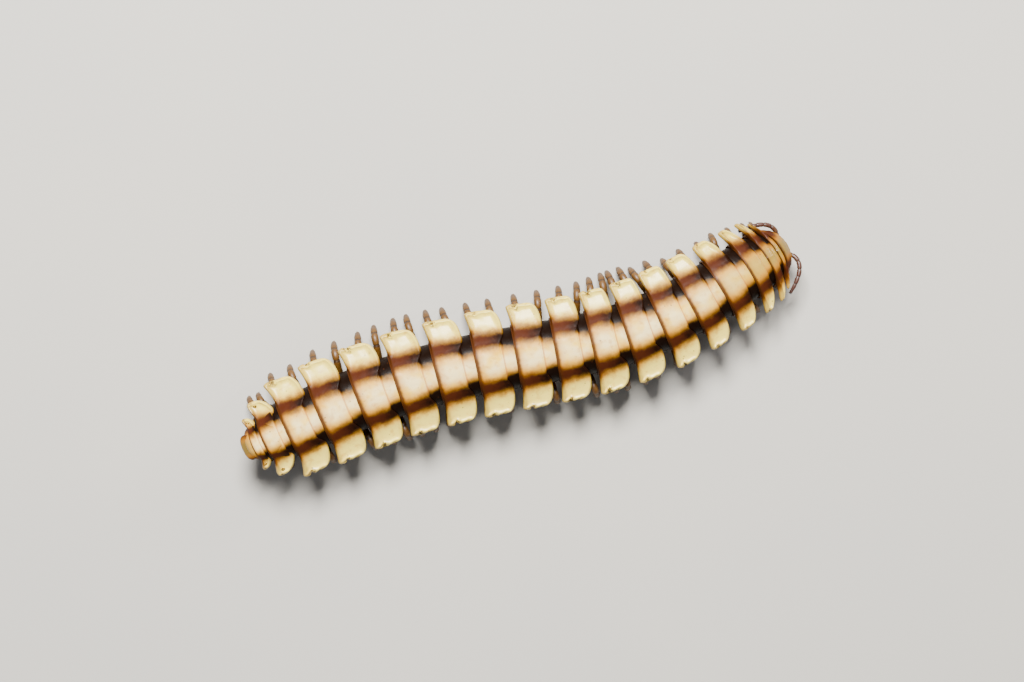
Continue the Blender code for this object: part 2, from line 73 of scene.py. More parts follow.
# Trunk of the rings
TRUNK_HALF_WIDTH = {1: 3.9, 2: 4.05, 3: 4.3, 5: 4.65, 8: 4.75, 16: 4.75, 17: 4.45, 18: 3.6, 19: 2.8, 20: 2.4}
WIDEST_TRUNK = 4.75
FRONT_BAND_INSET = 0.28
METAZONITE_END = 0.7
# Half outline of the trunk from the mid back to the mid belly: share of half width, share of height
TRUNK_OUTLINE = (
    (0.0, 0.0), (0.36, 0.02), (0.64, 0.09), (0.86, 0.21), (0.99, 0.37),
    (1.0, 0.57), (0.86, 0.78), (0.63, 0.93), (0.43, 1.0), (0.0, 1.0),
)
# Sections of the trunk behind the suture, as millimetres from the ring's rear and inset
REAR_RIM = ((0.8, 0.26), (0.04, 0.23), (0.0, 0.12), (0.05, 0.03), (0.3, 0.0))
# Sections from the suture on, as shares of the ring's length and inset in millimetres
FRONT_BAND = (
    (0.66, 0.0), (0.695, 0.05), (0.71, 0.33), (0.722, 0.36), (0.735, 0.29),
    (0.76, 0.26), (0.82, 0.27), (0.9, 0.28), (0.97, 0.3), (1.0, 0.33),
)
BAND_TUCK = 0.5
BAND_TUCK_INSET = 0.36
OUTLINE_STEPS = 5
BACK_INSET = 0.06
BACK_SHARE = 0.3
FLANK_FADE = (0.3, 0.8)
FLANK_PAINT = 3
TRUNK_LOW = 1.4
SHIELD_UNDER_LOW = 0.35
FRONT_RINGS = (2.5, 7.0)
FULL_OCHRE = 1.3

# Side keels of the rings
KEELS = {
    "reach": {2: 5.6, 3: 6.6, 4: 6.9, 5: 7.2, 7: 7.5, 12: 7.7, 16: 7.7, 17: 7.3, 18: 5.8, 19: 4.0},
    "chord": {2: 0.7, 3: 1.4, 4: 2.4, 5: 3.4, 7: 4.0, 10: 4.3, 12: 4.7, 16: 4.8, 17: 4.5, 18: 3.2, 19: 1.4},
    "sweep": {2: 0.8, 3: 1.0, 4: 0.8, 5: 0.45, 7: 0.2, 16: 0.2, 17: 0.5, 18: 1.3, 19: 0.8},
    "hook": {2: 0.0, 5: 0.1, 8: 0.2, 12: 0.35, 17: 0.4, 18: 0.0},
    "flare": {17: 0.0, 18: 0.12, 19: 0.4},
    "front_round": {2: 1.6, 4: 1.8, 5: 2.4, 8: 3.6, 17: 3.6, 18: 2.5, 19: 2.6},
    "rear_round": {2: 4.0, 5: 8.0, 8: 14.0, 17: 14.0, 18: 2.8, 19: 2.6},
    "bumps": {3: 0.0, 6: 0.6, 8: 1.0, 17: 1.0, 18: 0.25},
}
KEEL_ROOT = 0.7
KEEL_ROOT_DROP = 0.205
KEEL_SLOPE = 17.0
KEEL_REAR_START = 0.03
KEEL_ROOT_THICK = 1.5
KEEL_TIP_THICK = 0.65
SHIELD_THICK = 1.2
LIP_THICK = 0.16
LIP_LENGTH = 0.9
EDGE_ROUND = 0.3
BLEND = 0.8
BLEND_FADE = (0.5, 0.75)
SHOULDER = 0.985
TIP_SHARE = 0.9995
TIP_CLEAR = 0.02
# Where the plate turns from back to keel, as shares of the keel root's distance from the mid back
OUTLINE_TURN = (0.7, 1.25)
THICK_TURN = (0.85, 1.3)
BACK_STATIONS = 16
KEEL_STATIONS = 20
KEEL_STATION_POWER = 1.8
LENGTH_STATIONS = 30
EVEN_STATIONS = 0.25
HEIGHT_AT = 0.3
# Bumps of a keel's side margin: share of its length from the rear, width of the bump, height in millimetres
MARGIN_BUMPS = ((0.12, 0.1, 0.14), (0.36, 0.075, -0.3), (0.55, 0.1, 0.08), (0.8, 0.07, -0.07))
MARGIN_FADE = (0.55, 1.0)
BUMP_SPREAD = 0.35
# Relief of the plate: the keel's rim by height, place and width, the hollow inside it, and the skin's grain
PLATE_SWELL = 0.05
RIM_BEAD = (0.15, 0.3, 0.18)
RIM_BEAD_FADE = (0.15, 0.4)
HOLLOW_DEPTH = 0.19
HOLLOW_INSIDE = (0.3, 1.0)
HOLLOW_FADE = (0.25, 0.6)
GRAIN = ((0.03, 1.1), (0.014, 3.7))
GRAIN_SHIFT = (7.3, 3.1, 5.7)
# Painted rim and stain: width from the margin, and the stain's place and width along the keel
RIM_WIDTH = 0.35
RIM_FADE = (0.2, 0.6)
STAIN_WIDTH = 0.6
STAIN_PLACE = (0.36, 0.17)
STAIN_STRENGTH = (0.5, 1.3)

# Openings of the glands: radius, height and darkness of each loop, and their place on the keel
PORE_RINGS = (5, 7, 9, 10, 12, 13, 15, 16, 17, 18, 19)
PORE_LOOPS = ((0.26, -0.1, 0.2), (0.2, 0.0, 0.4), (0.15, 0.05, 0.8), (0.1, 0.02, 1.0), (0.07, -0.1, 1.0))
PORE_SIDES = 16
PORE_STRETCH = 1.2
PORE_INSET = 0.42
LAST_PORE_INSET = 0.8
PORE_ALONG = 0.4
PORE_SUNK = 0.03
PORE_PAINT = (1.5, 2.8)

# Collum, the shield behind the head
COLLUM_LENGTH = 2.2 * MM
COLLUM_HALF_WIDTH = 4.0 * MM
COLLUM_DROP = 2.1 * MM
COLLUM_THICK = 0.95 * MM
COLLUM_THIN_FRONT = 0.45
COLLUM_FRONT_DIP = 78.0
COLLUM_STEPS = (0.0, 0.3, 0.6, 0.82, 0.95, 1.0)
COLLUM_COLUMNS = 5
COLLUM_ARCH_POWER = 2.2
COLLUM_FRONT_ROUND = 4
COLLUM_NARROWEST = 0.45
COLLUM_UNDER_WIDTH = 0.9
COLLUM_THIN_SIDES = 0.5
COLLUM_FINE_STEPS = 30
COLLUM_FINE_COLUMNS = 26
COLLUM_EDGE = 0.12
COLLUM_PAINT = 5.2
COLLUM_UNDER_LOW = 0.4
# Beads of the front rim by height and spread of height, and the rim's place and width on the plate
COLLUM_BEADS = (0.11, 0.07)
COLLUM_RIM = (0.9, 0.06)
COLLUM_SIDE_RIM = (0.93, 0.05, 0.03)

# Head, in millimetres from its centre where it isn't in metres
HEAD_AHEAD = -0.7 * MM
HEAD_CENTRE_HEIGHT = 3.8 * MM
HEAD_LEAN = -4.0
HEAD_SIDES = 64
HEAD_SQUARE = 0.85
# From the crown to the lip: height, half width, reach to the front, reach to the back
HEAD_LEVELS = (
    (2.2, 0.7, 0.4, 0.6), (2.0, 1.5, 0.9, 1.2), (1.45, 2.2, 1.4, 1.6), (0.7, 2.55, 1.75, 1.8),
    (0.0, 2.65, 1.85, 1.8), (-0.7, 2.55, 1.72, 1.6), (-1.35, 2.2, 1.45, 1.3), (-1.8, 1.75, 1.15, 0.9),
    (-2.1, 1.3, 0.85, 0.5),
)
HEAD_SMOOTH_STEPS = 6
HEAD_VOXEL = 0.07 * MM
HEAD_SOFTENING = 6
GROOVE_DEPTH = 0.07
HEAD_GRAIN = ((0.025, 1.6), (0.01, 5))
# Lobes of the head, the left one of each pair: place, radii, and groove and height for the material
CHEEK = ((-0.45, 1.8, -0.6), (1.35, 1.1, 1.3), ())
NECK = ((-2.0, 0.0, 0.7), (2.2, 2.1, 1.5), ())
MANDIBLE_STIPES = ((-0.35, 1.45, -1.45), (0.95, 0.7, 0.6), (0.0, -0.6))
MANDIBLE_CARDO = ((-1.35, 1.6, -0.8), (0.75, 0.62, 0.75), (0.0, -0.6))
LIP_LOBE = ((0.62, 0.62, -2.0), (0.42, 0.62, 0.26), (0.0, -0.6))
JAW_PLATE = ((-0.5, 0.0, -1.85), (1.25, 1.05, 0.3), (0.05, -1.0))
LIP_TOOTH = ((1.0, 0.13, -2.12), (0.1, 0.07, 0.16), (0.9, 0.0))
# Bristles of the lip, in a bow from side to side
LIP_BRISTLES = 16
LIP_HALF_WIDTH = 1.1
LIP_BOW = (0.98, 0.12)
LIP_BRISTLE_HEIGHT = -1.95
LIP_BRISTLE_LENGTH = 0.42
# Bristles of the face's left half: distance from the middle and height
FACE_BRISTLES = ((0.5, 1.0), (0.9, 0.2), (0.55, -0.4), (1.3, -0.5), (1.6, 0.4), (0.45, -1.2))
FACE_BOW = (1.62, 0.1)
FACE_BRISTLE_LENGTH = 0.5
# Sockets of the antennae: place, way out, and radius, height and darkness of each loop
SOCKET_PLACE = (1.32, 1.35, 0.88)
SOCKET_WAY = (0.72, 0.68, 0.15)
SOCKET_LOOPS = ((0.62, -0.2, 0.0), (0.58, 0.06, 0.0), (0.5, 0.13, 0.2), (0.43, 0.08, 0.9), (0.4, -0.2, 1.0))
SOCKET_SIDES = 28

# Telson: length and rise in millimetres at each share of the last trunk section, and its tail plate
TELSON_STEPS = ((-0.5, -0.05, 0.99), (0.0, 0.0, 1.0), (0.4, 0.1, 0.93), (0.75, 0.25, 0.75), (1.0, 0.35, 0.5))
TELSON_SMOOTH_STEPS = 6
TAIL_PLATE_LENGTH = 1.7 * MM
TAIL_PLATE_HALF_WIDTH = 2.1 * MM
TAIL_PLATE_ROOT = 0.85
TAIL_PLATE_THICK = 1.2 * MM
TAIL_PLATE_TOP = 1.1 * MM
TAIL_PLATE_DROP = 30.0
TAIL_PLATE_ROUND = 2.5
TAIL_PLATE_WIDEST = 0.8
TAIL_PLATE_THIN = 0.45
TAIL_PLATE_SQUARE = 0.7
TAIL_PLATE_LOOPS = 24
TAIL_PLATE_SIDES = 48
TAIL_PLATE_PAINT = 1.55
TELSON_PAINT = 3.2
TELSON_ALONG = 0.16
TELSON_LOW = 1.2
TELSON_OCHRE = 0.6
# Left valve and the scale: place, radii and values for the material, and the roots of the valve's bristles
VALVE = ((-0.85, 0.62, -3.35), (0.62, 0.6, 1.25), (4.6, 0.4, 0.3, 0.8, 0.2, 0.0))
TAIL_SCALE = ((-0.75, 0.0, -4.75), (0.55, 0.9, 0.25), (4.8, 0.4, 0.5, 0.8, 0.2, 0.0))
VALVE_BRISTLES = ((-1.346, 0.62, -2.8), (-1.346, 0.62, -3.8))
VALVE_BRISTLE_PAINT = (3.4, 0.4, 0.5, 0.5, 0.0, 0.0)

# Antennae, with the route of the left one from the head's centre
ANTENNA_RADIUS = 0.36 * MM
ANTENNA_TIP_RADIUS = 0.22 * MM
ANTENNA_SIDES = 20
ANTENNA_PINCH = 0.16
ANTENNA_BRISTLES = 3
ANTENNA_ROUTE = (
    (1.3, 1.4, 0.7), (1.85, 2.4, 0.8), (1.7, 3.6, 1.1), (0.9, 4.6, 1.35),
    (-0.15, 5.3, 1.5), (-1.15, 5.8, 1.5), (-2.0, 6.15, 1.4),
)
ANTENNA_SWING = {"left": 13.0, "right": -6.0}
# Ends of the eight articles, as shares of the antenna's length
ANTENNA_JOINTS = (0.0, 0.09, 0.28, 0.45, 0.61, 0.77, 0.925, 0.98, 1.0)
# Sensory cones of the tip: number, length and radius
TIP_CONES = (4, 0.14, 0.05)

# Legs
LEG_SIDES = 14
LEG_PINCH = 0.12
HIP_INNER = 0.04
HIP_OUTER = 2.15
HIP_GAP = 0.12
HIP_HALF_HEIGHT = 0.55
HIP_SQUARE = 0.55
HIP_SUNK = 0.3
KNOB_OUT = 0.15
KNOB_SUNK = 0.68
KNOB_RADII = (0.72, 0.8, 0.5)
LEG_ROOT = 1.3 * MM
# Reach from the root, height over the floor and radius along the leg, in millimetres
LEG_PATH = (
    (0.0, 2.25, 0.5), (0.9, 1.95, 0.56), (2.3, 2.45, 0.55), (4.5, 4.1, 0.53),
    (6.5, 4.8, 0.55), (7.8, 4.1, 0.53), (8.45, 2.3, 0.46), (8.7, 0.4, 0.32), (8.72, 0.0, 0.24),
)
# How far the last two radii are thinned to a claw
CLAW_TAPER = (0.6, 0.22)
# Ends of the hip, thigh, shank and foot articles and the claw, as shares of the leg's length
LEG_JOINTS = (0.0, 0.09, 0.25, 0.5, 0.63, 0.76, 0.965, 1.0)
LEG_BEND = 3.0
LEG_REACH_SCALE = {2: 0.48, 3: 0.52, 4: 0.58, 5: 0.65, 8: 0.85, 16: 0.86, 17: 0.78, 18: 0.57}
SIDE_REACH = {1: 1.0, -1: 0.96}
LEG_THICK_SCALE = {2: 0.66, 3: 0.72, 4: 0.85, 6: 1.0, 17: 1.0, 18: 0.9}
LEG_RISE_SCALE = {2: 0.72, 5: 0.84, 7: 1.0, 17: 1.0, 18: 0.82}
LEG_LEAN = {2: 26.0, 3: 14.0, 4: 4.0, 6: 0.0, 17: 0.0, 18: -8.0}
STRIDE_SWING = 11.0
STRIDE_LEGS = 11
STRIDE_REACH = 0.03
STRIDE_LEFT_LEAD = 0.35

# Articles of legs and antennae
ARTICLE_LOOPS = 7
ARTICLE_END = 0.01
ARTICLE_CLUB = (0.94, 0.08)
PINCH_WIDTH = (0.09, 0.06)
JOINT_PAINT = (0.12, 0.1)
ROUTE_STEPS = 12
UPRIGHT = 0.2
BRISTLE_LENGTH = 0.26
BRISTLE_RADIUS = 0.018
BRISTLE_LEAN = (0.6, 1.1)
BRISTLE_SPREAD = (0.6, 1.2)
BARE_JOINT = 0.6

# Camera and light, with the camera's place from the middle of the body line
CAMERA_PLACE = (0.8, 38.8, 419.4)
CAMERA_TURN = (-5.0, -1.58, -19.41)
CAMERA_LENS = 100
FLOOR_SIZE = 3.0
# Name, place, aim, size, power and colour of each lamp
LAMPS = (
    ("key", (0.05, 0.27, 0.43), (0, 0, 0), 0.2, 10.8, (1.0, 0.98, 0.94)),
    ("fill", (-0.35, -0.4, 0.45), (0, 0, 0), 0.5, 0.6, (0.93, 0.96, 1.0)),
    ("front", (0.42, 0.12, 0.2), (0.03, 0, 0), 0.07, 0.6, (0.96, 0.94, 1.0)),
)
SKY_COLOUR = (0.9, 0.93, 1.0, 1)
SKY_STRENGTH = 0.14

# Colours as hex values of the screen
KEEL_CREAM = "e6cf5e"
BACK_CREAM = "efc034"
BACK_GOLD = "b26c16"
# Lilac white is the painted highlight of the mid back and also the floor's mottle
LILAC_WHITE = "f5e8be"
OCHRE = "7e6428"
STRIPE_BROWN = "3f1c0d"
# Near black of the stripes' front ends, partly painted shade in the gaps between keels, and of the claws and
# head grooves
STRIPE_DARK = "120804"
# Brown of the specks, blots, scratches and stripe fringes, and of the rear-edge line, which is partly painted
# shade
MARGIN_BROWN = "3d1e08"
SUTURE_PINK = "b0703a"
# Dark brown of the flanks, which also serves as painted shade under the keels
FLANK_BROWN_AND_SHADE = "3c2010"
UNDER_TAN = "9a6a34"
LEG_BROWN = "553608"
LEG_DARK = "2a1808"
LEG_PALE = "8a6218"
FEELER_BROWN = "3e1d10"
FEELER_DARK = "2c140a"
HEAD_TAN = "96682e"
HEAD_BROWN = "7a5424"
FLOOR_GREY = "b5b2ac"

# Stripes of the back, in millimetres from the mid back
STRIPE_MIDDLE = 3.62
STRIPE_LEAN = 0.42
STRIPE_INNER = 0.95
STRIPE_OUTER = 0.9
BAND_WIDER = 0.28
# Fades of the painted patterns and of the painted light and shade, some with their lowest and highest share
FADE = {
    "band": (0.70, 0.735), "stripe_inner": (-0.7, 0.55), "stripe_outer": (0.7, -0.55),
    "band_stripe_and_shade": (-0.6, 0.5), "halo_inner": (-1.9, -0.1), "halo_outer": (1.4, 0.1),
    "fringe_inner": (-1.0, 0.1), "fringe_outer": (0.95, 0.0), "keel": (3.4, 5.2),
    "painted_sheen": (2.7, 0.5), "sheen_patch": (0.2, 0.6), "sheen_front": (0.0, 0.8, 0.6, 0.1),
    "rear": (0.35, 0.0), "rear_keel": (4.4, 6.4, 0.8, 0.25), "gold_patch": (0.52, 0.75),
    "ochre_keel": (4.0, 6.0, 0.9, 0.2), "rim": (0.25, 1.0), "rim_patch": (0.3, 0.65),
    "suture_rear": (0.69, 0.712), "suture_front": (0.745, 0.722), "under": (0.1, 0.35, 0.0, 0.85),
    "dark_flank_and_shade": (0.3, 0.75), "dark": (0.25, 0.8), "stripe_low": (1.3, 0.7), "margin": (0.15, 0.055),
    "margin_shade_keel": (4.4, 6.2, 0.92, 0.35), "blot_patch": (0.35, 0.6), "blot": (0.15, 0.6, 0.0, 0.8),
    "speck": (0.16, 0.08), "speck_patch": (0.5, 0.6), "scratch": (0.66, 0.74),
    "shell_rough": (0.3, 0.75, 0.24, 0.44), "shell_coat": (0.0, 0.8, 0.6, 0.03),
    "joint": (0.45, 0.95), "limb_root": (0.6, 0.1), "limb_grain": (0.35, 0.7),
    "limb_patch": (0.55, 0.75), "claw": (0.955, 0.99, 0.0, 0.8), "limb_rough": (0.3, 0.7, 0.42, 0.6),
    "face": (-1.6, 1.4), "head_patch": (0.45, 0.7), "groove": (0.1, 0.9),
    "head_rough": (0.3, 0.7, 0.2, 0.34), "mottle": (0.3, 0.7, 0.0, 0.05),
}
# Noises: grains in each millimetre, detail, roughness and stretch
NOISE = {
    "painted_sheen": (0.45, 2.0), "gold": (1.3, 3.0), "rim": (1.8, 3.0), "blot": (3.0, 3.0), "speck": (0.5,),
    "scratch": (2.2, 4.0, 0.6, (0.35, 1.6, 1)), "shell_rough": (1.6, 4.0), "shell_skin": (7.0, 5.0, 0.6),
    "limb": (2.5, 4.0, 0.6), "limb_skin": (9.0, 4.0, 0.6), "head": (1.6, 4.0),
    "head_rough": (2.5, 3.0), "head_skin": (8.0, 5.0, 0.6), "mottle": (0.02, 3.0), "floor": (1.5, 3.0),
}
# Wobbles of the patterns' edges: grains in each millimetre, size and detail
WOBBLE = {
    "stripe": (0.7, 0.9), "stripe_edge": (4.0, 0.3, 4.0), "dark_flank_and_shade": (0.9, 0.2), "dark": (1.5, 0.3),
    "margin": (2.0, 0.04), "joint": (3.0, 0.5), "face": (0.8, 1.2),
}


def along_body(table, ring):
    """A size at a ring, or between two rings, eased between the rings that the table names."""
    names = sorted(table)
    if ring <= names[0]:
        return table[names[0]]
    for low, high in zip(names, names[1:]):
        if ring <= high:
            return table[low] + (table[high] - table[low]) * eased((ring - low) / (high - low))
    return table[names[-1]]


def turn(yaw, dip):
    """Rotation of a ring: yaw about the vertical, then the front dipped towards the floor."""
    return Matrix.Rotation(math.radians(yaw), 3, "Z") @ Matrix.Rotation(math.radians(dip), 3, "Y")


def spot(place, rotation, x, y, z):
    """A point given in millimetres from a place, in the place's own directions."""
    return place + rotation @ Vector((x, y, z)) * MM


def clamp(value, most=1.0):
    return min(max(value, 0.0), most)


def eased(share):
    """A share of the way, slower at both ends."""
    return (1 - math.cos(math.pi * share)) / 2


def smooth(value, low, high):
    """Eased share of the way from low to high."""
    share = clamp((value - low) / (high - low))
    return share * share * (3 - 2 * share)


def bell(value, middle, width):
    """A soft hump of height 1 round its middle."""
    return math.exp(-((value - middle) / width) ** 2)


def power(value, exponent):
    """A power that keeps the value's sign."""
    return math.copysign(abs(value) ** exponent, value)


def rounded(distance, radius):
    """Height from 0 to 1 of a round edge at a distance from it."""
    return math.sqrt(1 - (1 - clamp(distance / radius)) ** 2)


def round_end(share, square):
    """Width from 1 to 0 on the way to a round end, squarer for a larger power."""
    return (1 - share ** square) ** (1 / square)


def circle(sides, start=0.0):
    """Cosine and sine of the angles round a circle, the first one a share of a step on."""
    angles = [math.tau * (k + start) / sides for k in range(sides)]
    return [(math.cos(angle), math.sin(angle)) for angle in angles]


def hoop(middle, across, over, radius, values, sides, start=0.0):
    """Points round a middle, all with the same values."""
    return [(middle + (across * cos + over * sin) * radius, values) for cos, sin in circle(sides, start)]


def sided(place, side):
    """A place given for the left side, mirrored for side -1 and in the middle for side 0."""
    x, y, z = place
    return Vector((x, side * y, z))


def add_object(name, data):
    """A new object in the scene."""
    made = bpy.data.objects.new(name, data)
    bpy.context.scene.collection.objects.link(made)
    return made


def curve_through(points, steps):
    """Points on a smooth curve through the given ones, with as many steps from each to the next."""
    points = [Vector(point) for point in points]
    ends = [points[0] * 2 - points[1]] + points + [points[-1] * 2 - points[-2]]
    found = []
    for a, b, c, d in zip(ends, ends[1:], ends[2:], ends[3:]):
        for i in range(steps):
            t = i / steps
            square = (a * 2 - b * 5 + c * 4 - d) * t * t
            cube = (b * 3 - a - c * 3 + d) * t ** 3
            found.append((b * 2 + (c - a) * t + square + cube) / 2)
    return found + points[-1:]


def back_line():
    """Points on the mid back at the rear margin of each ring from 19 to 1, over the floor."""
    points = {LAST_RING: Vector((0, 0, 0))}
    for ring in range(LAST_RING, 1, -1):
        middle = turn(along_body(YAW, ring - 0.5), along_body(DIP, ring - 0.5))
        points[ring - 1] = points[ring] + middle @ Vector((along_body(RING_LENGTH, ring) * MM, 0, 0))
    centre = (points[LAST_RING] + points[1]) / 2
    shift = Vector((-centre.x, -centre.y, BACK_TOP - points[TALLEST_RING].z))
    return {ring: point + shift for ring, point in points.items()}


def ring_length(line, ring):
    return (line[ring - 1] - line[ring]).length / MM


def bends(ring, share):
    """Yaw and dip of a cross-section at a share of the ring's length from its rear."""
    start = along_body(BEND_START, ring)
    bend = max(0.0, (share - start) / (1 - start))
    found = []
    for table in (YAW, DIP):
        here = along_body(table, ring)
        found.append(here + (along_body(table, ring - 1) - here) * bend)
    return found


def station(line, ring, share):
    """Place and rotation of a cross-section at a share of the ring's length from its rear."""
    return line[ring].lerp(line[ring - 1], share), turn(*bends(ring, share))


def trunk_height(line, ring, share):
    """Height of a cross-section in millimetres, square to the back."""
    place = line[ring].lerp(line[ring - 1], share)
    yaw, dip = bends(ring, share)
    return (place.z / MM - along_body(BELLY_LEVEL, ring - share)) / math.cos(math.radians(dip))


TRUNK_CURVE = curve_through(TRUNK_OUTLINE, OUTLINE_STEPS)
TRUNK_LOOP = TRUNK_CURVE[:-1] + [Vector((-point.x, point.y)) for point in reversed(TRUNK_CURVE[1:])]


def trunk_drop(across):
    """Share of the trunk's height that the back has dropped at a share of its half width."""
    for low, high in zip(TRUNK_CURVE, TRUNK_CURVE[1:]):
        if across <= high.x:
            return low.y + (high.y - low.y) * (across - low.x) / (high.x - low.x)
    return 1.0


class Skin:
    """Points and faces of one piece, and the values that its material reads at each point."""

    def __init__(self, *value_names):
        self.value_names = value_names
        self.points = []
        self.values = []
        self.faces = []

    def add(self, pairs):
        """New points with their values, none of them under the floor."""
        start = len(self.points)
        for point, values in pairs:
            self.points.append((point.x, point.y, max(point.z, 0.0)))
            self.values.append(values)
        return start

    def add_loops(self, rows):
        """A surface through closed loops of points with their values, with flat ends."""
        count = len(rows[0])
        starts = [self.add(row) for row in rows]
        for near, far in zip(starts, starts[1:]):
            for i in range(count):
                j = (i + 1) % count
                self.faces.append((near + i, near + j, far + j, far + i))
        self.faces.append(tuple(starts[0] + i for i in reversed(range(count))))
        self.faces.append(tuple(starts[-1] + i for i in range(count)))

    def add_collar(self, centre, across, over, axis, loops, sides, values_of):
        """Round loops about an axis, each with its radius, height and darkness."""
        self.add_loops([
            hoop(centre + axis * up * MM, across, over, radius * MM, values_of(dark), sides)
            for radius, up, dark in loops
        ])

    def add_lobe(self, centre, radii, rotation, values, sides=24, rows=14, square=1.0):
        """A closed oval with radii in millimetres, squarer for a smaller power."""
        x, y, z = Vector(radii) * MM
        loops = []
        for i in range(rows + 1):
            tilt = math.pi * (i + 0.02 * (1 - 2 * i / rows)) / rows - math.pi / 2
            wide = power(math.cos(tilt), square)
            up = z * power(math.sin(tilt), square)
            loop = []
            for cos, sin in circle(sides):
                point = Vector((x * wide * power(cos, square), y * wide * power(sin, square), up))
                loop.append((centre + rotation @ point, values))
            loops.append(loop)
        self.add_loops(loops)

    def add_part(self, place, part, side, *shape):
        """A lobe given by its middle from a place, its radii and its values."""
        middle, radii, values = part
        self.add_lobe(spot(*place, *sided(middle, side)), radii, place[1], values, *shape)

    def add_bristle(self, root, direction, length, values, radius=BRISTLE_RADIUS):
        """A thin cone with its root in the skin."""
        across = direction.orthogonal().normalized()
        over = direction.cross(across).normalized()
        foot = hoop(root, across, over, radius * MM, values, 3)
        start = self.add(foot + [(root + direction * length * MM, values)])
        self.faces.append((start + 2, start + 1, start))
        for k in range(3):
            self.faces.append((start + k, start + (k + 1) % 3, start + 3))

    def mesh(self, name):
        mesh = bpy.data.meshes.new(name)
        mesh.from_pydata(self.points, [], self.faces)
        return mesh

    def piece(self, name, material, slot, *nodes):
        """The finished piece in the scene, facing out, riding on the still body."""
        mesh = self.mesh(name)
        for index, value_name in enumerate(self.value_names):
            layer = mesh.attributes.new(value_name, "FLOAT", "POINT")
            layer.data.foreach_set("value", [values[index] for values in self.values])
        work = bmesh.new()
        work.from_mesh(mesh)
        bmesh.ops.recalc_face_normals(work, faces=work.faces)
        work.to_mesh(mesh)
        work.free()
        mesh.shade_smooth()
        mesh.set_sharp_from_angle(angle=math.radians(SHARP_EDGE))
        mesh.materials.append(material)
        made = add_object(name, mesh)
        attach(made, "root")
        if nodes:
            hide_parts(*nodes)


def colour(code):
    """Linear colour of a hex value."""
    parts = [int(code[i:i + 2], 16) / 255 for i in (0, 2, 4)]
    return (*[part / 12.92 if part <= 0.04045 else ((part + 0.055) / 1.055) ** 2.4 for part in parts], 1)


class Graph:
    """A material and short calls that add its nodes."""

    def __init__(self, name):
        self.material = bpy.data.materials.new(name)
        self.material.use_nodes = True
        self.tree = self.material.node_tree
        self.shader = self.tree.nodes["Principled BSDF"]

    def put(self, socket, value):
        """Link a socket to another node, or set it to a number or to the colour of a hex value."""
        if isinstance(value, bpy.types.NodeSocket):
            self.tree.links.new(value, socket)
        else:
            socket.default_value = colour(value) if isinstance(value, str) else value

    def node(self, kind, inputs, **settings):
        node = self.tree.nodes.new("ShaderNode" + kind)
        for key, value in settings.items():
            setattr(node, key, value)
        for key, value in inputs.items():
            self.put(node.inputs[key], value)
        return node

    def value(self, name):
        return self.node("Attribute", {}, attribute_name=name).outputs["Fac"]

    def maths(self, operation, first, second):
        return self.node("Math", {0: first, 1: second}, operation=operation).outputs[0]

    def plus(self, first, second):
        return self.maths("ADD", first, second)

    def minus(self, first, second):
        return self.maths("SUBTRACT", first, second)

    def times(self, first, second):
        return self.maths("MULTIPLY", first, second)

    def larger(self, first, second):
        return self.maths("MAXIMUM", first, second)

    def fade(self, value, name):
        """Smooth step of a value over a named fade."""
        low, high, start, end = (*FADE[name], 0.0, 1.0)[:4]
        inputs = {"Value": value, "From Min": low, "From Max": high, "To Min": start, "To Max": end}
        return self.node("MapRange", inputs, interpolation_type="SMOOTHSTEP").outputs["Result"]

    def mix(self, share, first, second):
        inputs = {0: share, 6: first, 7: second}
        return self.node("Mix", inputs, data_type="RGBA").outputs[2]

    def tint(self, share, other, most=None):
        """A share of another colour over the base, scaled to its greatest strength where that is given."""
        self.base = self.mix(share if most is None else self.times(share, most), self.base, other)

    def place(self, stretch=(1, 1, 1)):
        where = self.node("TexCoord", {}).outputs["Object"]
        return self.node("Mapping", {"Vector": where, "Scale": stretch}).outputs["Vector"]

    def grains(self, per_mm, detail=2.0, roughness=0.5, stretch=(1, 1, 1)):
        """Soft noise from 0 to 1, with a number of grains in each millimetre."""
        inputs = {"Vector": self.place(stretch), "Scale": per_mm / MM}
        inputs.update({"Detail": detail, "Roughness": roughness})
        return self.node("TexNoise", inputs).outputs["Fac"]

    def noise(self, name):
        return self.grains(*NOISE[name])

    def patches(self, noise_name, fade_name):
        """Soft patches where a named noise is high."""
        return self.fade(self.noise(noise_name), fade_name)

    def cells(self, per_mm, feature="F1"):
        inputs = {"Vector": self.place(), "Scale": per_mm / MM}
        return self.node("TexVoronoi", inputs, feature=feature).outputs["Distance"]

    def wobble(self, value, name):
        """A value with noise of a named size added to it."""
        per_mm, size, detail = (*WOBBLE[name], 2.0)[:3]
        return self.plus(value, self.times(self.minus(self.grains(per_mm, detail), 0.5), size))

    def bump(self, height, distance, strength, before=None):
        inputs = {"Height": height, "Distance": distance * MM, "Strength": strength}
        if before:
            inputs["Normal"] = before
        return self.node("Bump", inputs).outputs["Normal"]

    def surface(self, roughness, normal, **constants):
        self.put(self.shader.inputs["Base Color"], self.base)
        self.put(self.shader.inputs["Roughness"], roughness)
        self.put(self.shader.inputs["Normal"], normal)
        for name, value in constants.items():
            self.shader.inputs[name.replace("_", " ")].default_value = value
        return self.material


